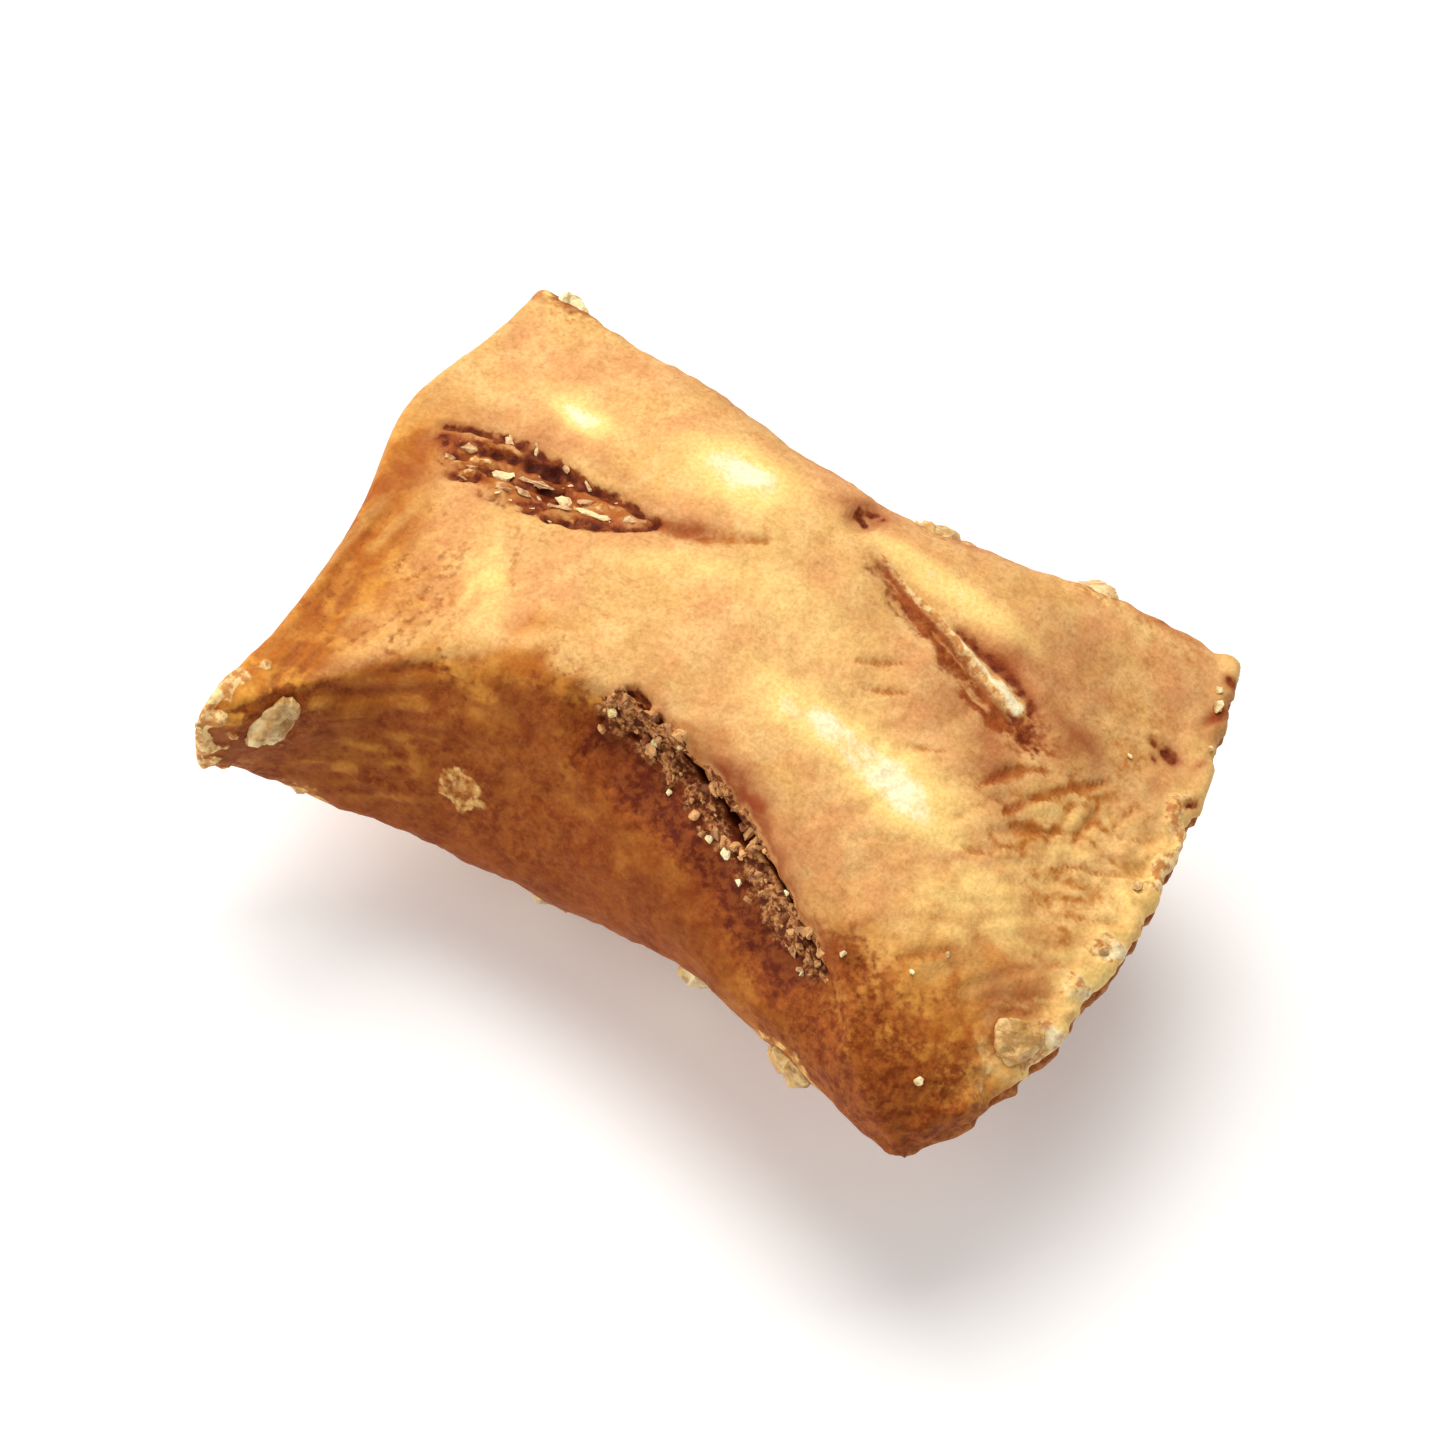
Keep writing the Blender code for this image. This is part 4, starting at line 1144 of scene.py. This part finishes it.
def crust_coats(n, soft, fine, grit, granular):
    """The coats over the dough, from the lowest up, each as a factor and a colour."""
    edge = n.ramp(n.noise(0.26, 3.0, 0.5), 0.3, 0.7, -0.25, 0.25)

    def gritty(name, low, high):
        """A mask with a gritty edge."""
        return n.ramp(n.plus(n.mask(name), edge), low, high)

    blotched = n.ramp(n.noise(0.7, 3.0, 0.6, 0.8), 0.3, 0.55, 0.4, 1.0)
    toast = n.mix(granular, colour(125, 54, 15), colour(171, 94, 36))
    pale = n.times(n.mask("pale"), n.ramp(fine, 0.3, 0.6, 0.85, 1.0))
    crust = n.tones(grit, 0.38, 0.6, (148, 86, 46), (210, 152, 94))
    crust = n.mix(n.ramp(fine, 0.4, 0.54), colour(96, 44, 22), crust)
    # Painted shade: the scorch mask darkens cracks, holes and pits towards near black.
    depth = n.plus(n.mask("scorch"), n.times(edge, 0.5))
    char_and_shade = n.tones(fine, 0.4, 0.6, (104, 38, 14), (142, 72, 32))
    char_and_shade = n.mix(n.ramp(depth, 0.55, 1.1), char_and_shade, colour(66, 18, 6))
    return (
        # Amber: browning, and painted half-shade along the front ridge and the left end.
        (n.mask("amber"), n.tones(soft, 0.38, 0.62, (190, 112, 36), (223, 155, 66))),
        (n.times(gritty("ochre", 0.0, 0.9), blotched), colour(184, 114, 44)),
        # Toast: browning, and painted shade on slopes, in hollows and round grains.
        (gritty("toast", 0.1, 0.9), toast),
        (gritty("melted", 0.25, 0.8), n.tones(fine, 0.35, 0.65, (200, 134, 68), (242, 200, 126))),
        # Pale gold: pale crumb, and the soft edge of the painted highlights.
        (n.ramp(pale, 0.0, 0.55), colour(253, 216, 134)),
        (gritty("crust", 0.3, 0.6), crust),
        (gritty("crumb", 0.3, 0.6), n.tones(fine, 0.4, 0.6, (206, 142, 78), (252, 220, 156))),
        # Red-brown: the crust's own colour, and painted shade in the slit's pocket and beside the furrow.
        (n.mask("rust"), colour(156, 74, 36)),
        (n.ramp(depth, 0.25, 0.6), char_and_shade),
        # Near white: the bright core of the painted highlights, and the palest crumb.
        (n.ramp(pale, 0.5, 1.0), colour(254, 246, 206)),
    )


def crust_material():
    """The baked crust, duller and grainier where it isn't pale."""
    n = Nodes("baked_crust")
    broad = n.noise(3.0, 1.0)
    soft = n.noise(1.1, 2.0, 0.5, 0.3)
    fine = n.noise(0.32, 3.0, 0.6)
    grit = n.noise(0.14, 2.0, 0.6)
    granular = n.ramp(n.noise(0.38, 4.0, 0.7), 0.36, 0.66)
    base = baked_dough(n, broad, soft, granular)
    for factor, coat in crust_coats(n, soft, fine, grit, granular):
        base = n.mix(factor, base, coat)
    base = n.mix(1.0, base, n.tones(grit, 0.3, 0.7, (240, 230, 218), (255, 255, 255)), "MULTIPLY")
    roughness = n.plus(n.ramp(fine, 0.3, 0.7, 0.52, 0.68), n.times(n.mask("pale"), -0.2))
    relief = n.plus(n.times(fine, 0.6), n.times(grit, 0.4))
    return n.finish(Base_Color=base, Roughness=roughness, Specular_IOR_Level=0.1,
                    Normal=n.bump(relief, 0.07, 0.8))


def salt_material():
    """Salt from toasted to clean by each grain's tone, soiled at its centre and in olive spots."""
    n = Nodes("salt")
    cloudy = n.ramp(n.noise(0.6, 3.0), 0.35, 0.65)
    clean = n.mix(cloudy, colour(238, 204, 132), colour(255, 244, 196))
    toasted = n.mix(cloudy, colour(204, 148, 76), colour(238, 196, 116))
    base = n.mix(n.ramp(n.mask("tone"), 0, 1), toasted, clean)
    base = n.mix(n.mask("centre"), base, colour(158, 112, 54))
    base = n.mix(n.ramp(n.noise(0.4, 2.0), 0.5, 0.64, 0.0, 0.6), base, colour(162, 116, 56))
    return n.finish(Base_Color=base, Roughness=0.4, Subsurface_Weight=0.2,
                    Subsurface_Scale=0.3 * MILLIMETRE, Normal=n.bump(n.noise(0.18, 2.0), 0.05))


def crumb_material(name, dark, light):
    """Crumb between two colours, by each piece's tone."""
    n = Nodes(name)
    mottled = n.ramp(n.noise(0.25, 3.0), 0.3, 0.7, -0.25, 0.25)
    base = n.mix(n.plus(n.mask("tone"), mottled), colour(*dark), colour(*light))
    return n.finish(Base_Color=base, Roughness=0.7, Normal=n.bump(n.noise(0.12, 2.0), 0.04))


# ---- scene
VIEW_TARGET = (-0.20, -0.81, 9.43)  # millimetres
VIEW_AZIMUTH = -74.0  # of the camera seen from the nugget, from +X
VIEW_ELEVATION = 56.6
VIEW_ROLL = 16.3
VIEW_DISTANCE = 200.0
VIEW_WIDTH = 45.5
SENSOR_WIDTH = 36
Light = namedtuple("Light", "place size power tint")
LIGHTS = {
    "key": Light((-0.12, 0.11, 0.33), 0.25, 1.25, (1, 0.985, 0.96)),
    "fill": Light((-0.28, -0.22, 0.18), 0.25, 0.55, (1, 1, 1)),
}
SKY = (1, 0.99, 0.98, 1)
SKY_STRENGTH = 0.4
FLOOR_SIZE = 3.0
FLOOR_COLOUR = (0.9, 0.9, 0.89, 1)
FLOOR_GLOW = 0.15


def add_camera():
    """The photo's view, from above the front, rolled a little."""
    data = bpy.data.cameras.new("camera")
    camera = bpy.data.objects.new("camera", data)
    bpy.context.scene.collection.objects.link(camera)
    azimuth, elevation = math.radians(VIEW_AZIMUTH), math.radians(VIEW_ELEVATION)
    level = math.cos(elevation)
    back = Vector((math.cos(azimuth) * level, math.sin(azimuth) * level, math.sin(elevation)))
    roll = Matrix.Rotation(math.radians(VIEW_ROLL), 4, "Z")
    place = (Vector(VIEW_TARGET) + back * VIEW_DISTANCE) * MILLIMETRE
    camera.matrix_world = Matrix.Translation(place) @ back.to_track_quat("Z", "Y").to_matrix().to_4x4() @ roll
    data.sensor_width = SENSOR_WIDTH
    data.lens = SENSOR_WIDTH * VIEW_DISTANCE / VIEW_WIDTH
    data.clip_start = MILLIMETRE
    bpy.context.scene.camera = camera


def add_light(name, place, size, power, tint):
    """A square lamp that shines at the origin."""
    data = bpy.data.lights.new(name, "AREA")
    data.size = size
    data.energy = power
    data.color = tint
    light = bpy.data.objects.new(name, data)
    light.location = place
    light.rotation_mode = "QUATERNION"
    light.rotation_quaternion = Vector(place).to_track_quat("Z", "Y")
    bpy.context.scene.collection.objects.link(light)


def add_surroundings():
    """A pale floor and a pale, even sky."""
    bpy.ops.mesh.primitive_plane_add(size=FLOOR_SIZE)
    floor = bpy.context.object
    floor.name = "floor"
    white = (1, 1, 1, 1)
    floor.data.materials.append(Nodes("pale_floor").finish(
        Base_Color=FLOOR_COLOUR, Roughness=0.9, Emission_Color=white, Emission_Strength=FLOOR_GLOW))
    world = bpy.data.worlds.new("studio")
    world.use_nodes = True
    sky = world.node_tree.nodes["Background"]
    sky.inputs["Color"].default_value = SKY
    sky.inputs["Strength"].default_value = SKY_STRENGTH
    bpy.context.scene.world = world


def add_piece(name, mesh, material):
    piece = bpy.data.objects.new(name, mesh)
    bpy.context.scene.collection.objects.link(piece)
    mesh.materials.append(material)
    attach(piece, "root")
    return piece


def main():
    cad = cad_grid()
    sites = salt_sites(cad, outward(*np.moveaxis(cad, -1, 0)))
    skin = Skin()
    for work in (base_coat, paint_highlights, left_wrinkles, right_wrinkles, creases_and_fold, torn_dent, slit,
                 rusty_pits, pores, cut_edges):
        work(skin)
    crumbly = crusty_groove(skin)
    salt_beds(skin, sites)
    melted_patches(skin)
    points = fine_points(skin)
    normals = outward(*np.moveaxis(points, -1, 0))

    crust = add_piece("crust", crust_mesh(skin, points), crust_material())
    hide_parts("pretzel_nugget")
    salt = salt_material()
    add_piece("coarse_salt", coarse_salt(sites), salt)
    toasted = crumb_material("toasted_crumb", (134, 72, 36), (230, 172, 106))
    add_piece("groove_crumbs", groove_crumbs(points, normals, crumbly), toasted)
    add_piece("fine_salt", fine_salt(points, normals), salt)
    pale = crumb_material("pale_crumb", (166, 92, 40), (255, 228, 170))
    add_piece("torn_crumb", torn_flakes(points, normals), pale)

    add_surroundings()
    add_camera()
    for name, light in LIGHTS.items():
        add_light(name, *light)
    bpy.context.scene.view_settings.view_transform = "Standard"


main()
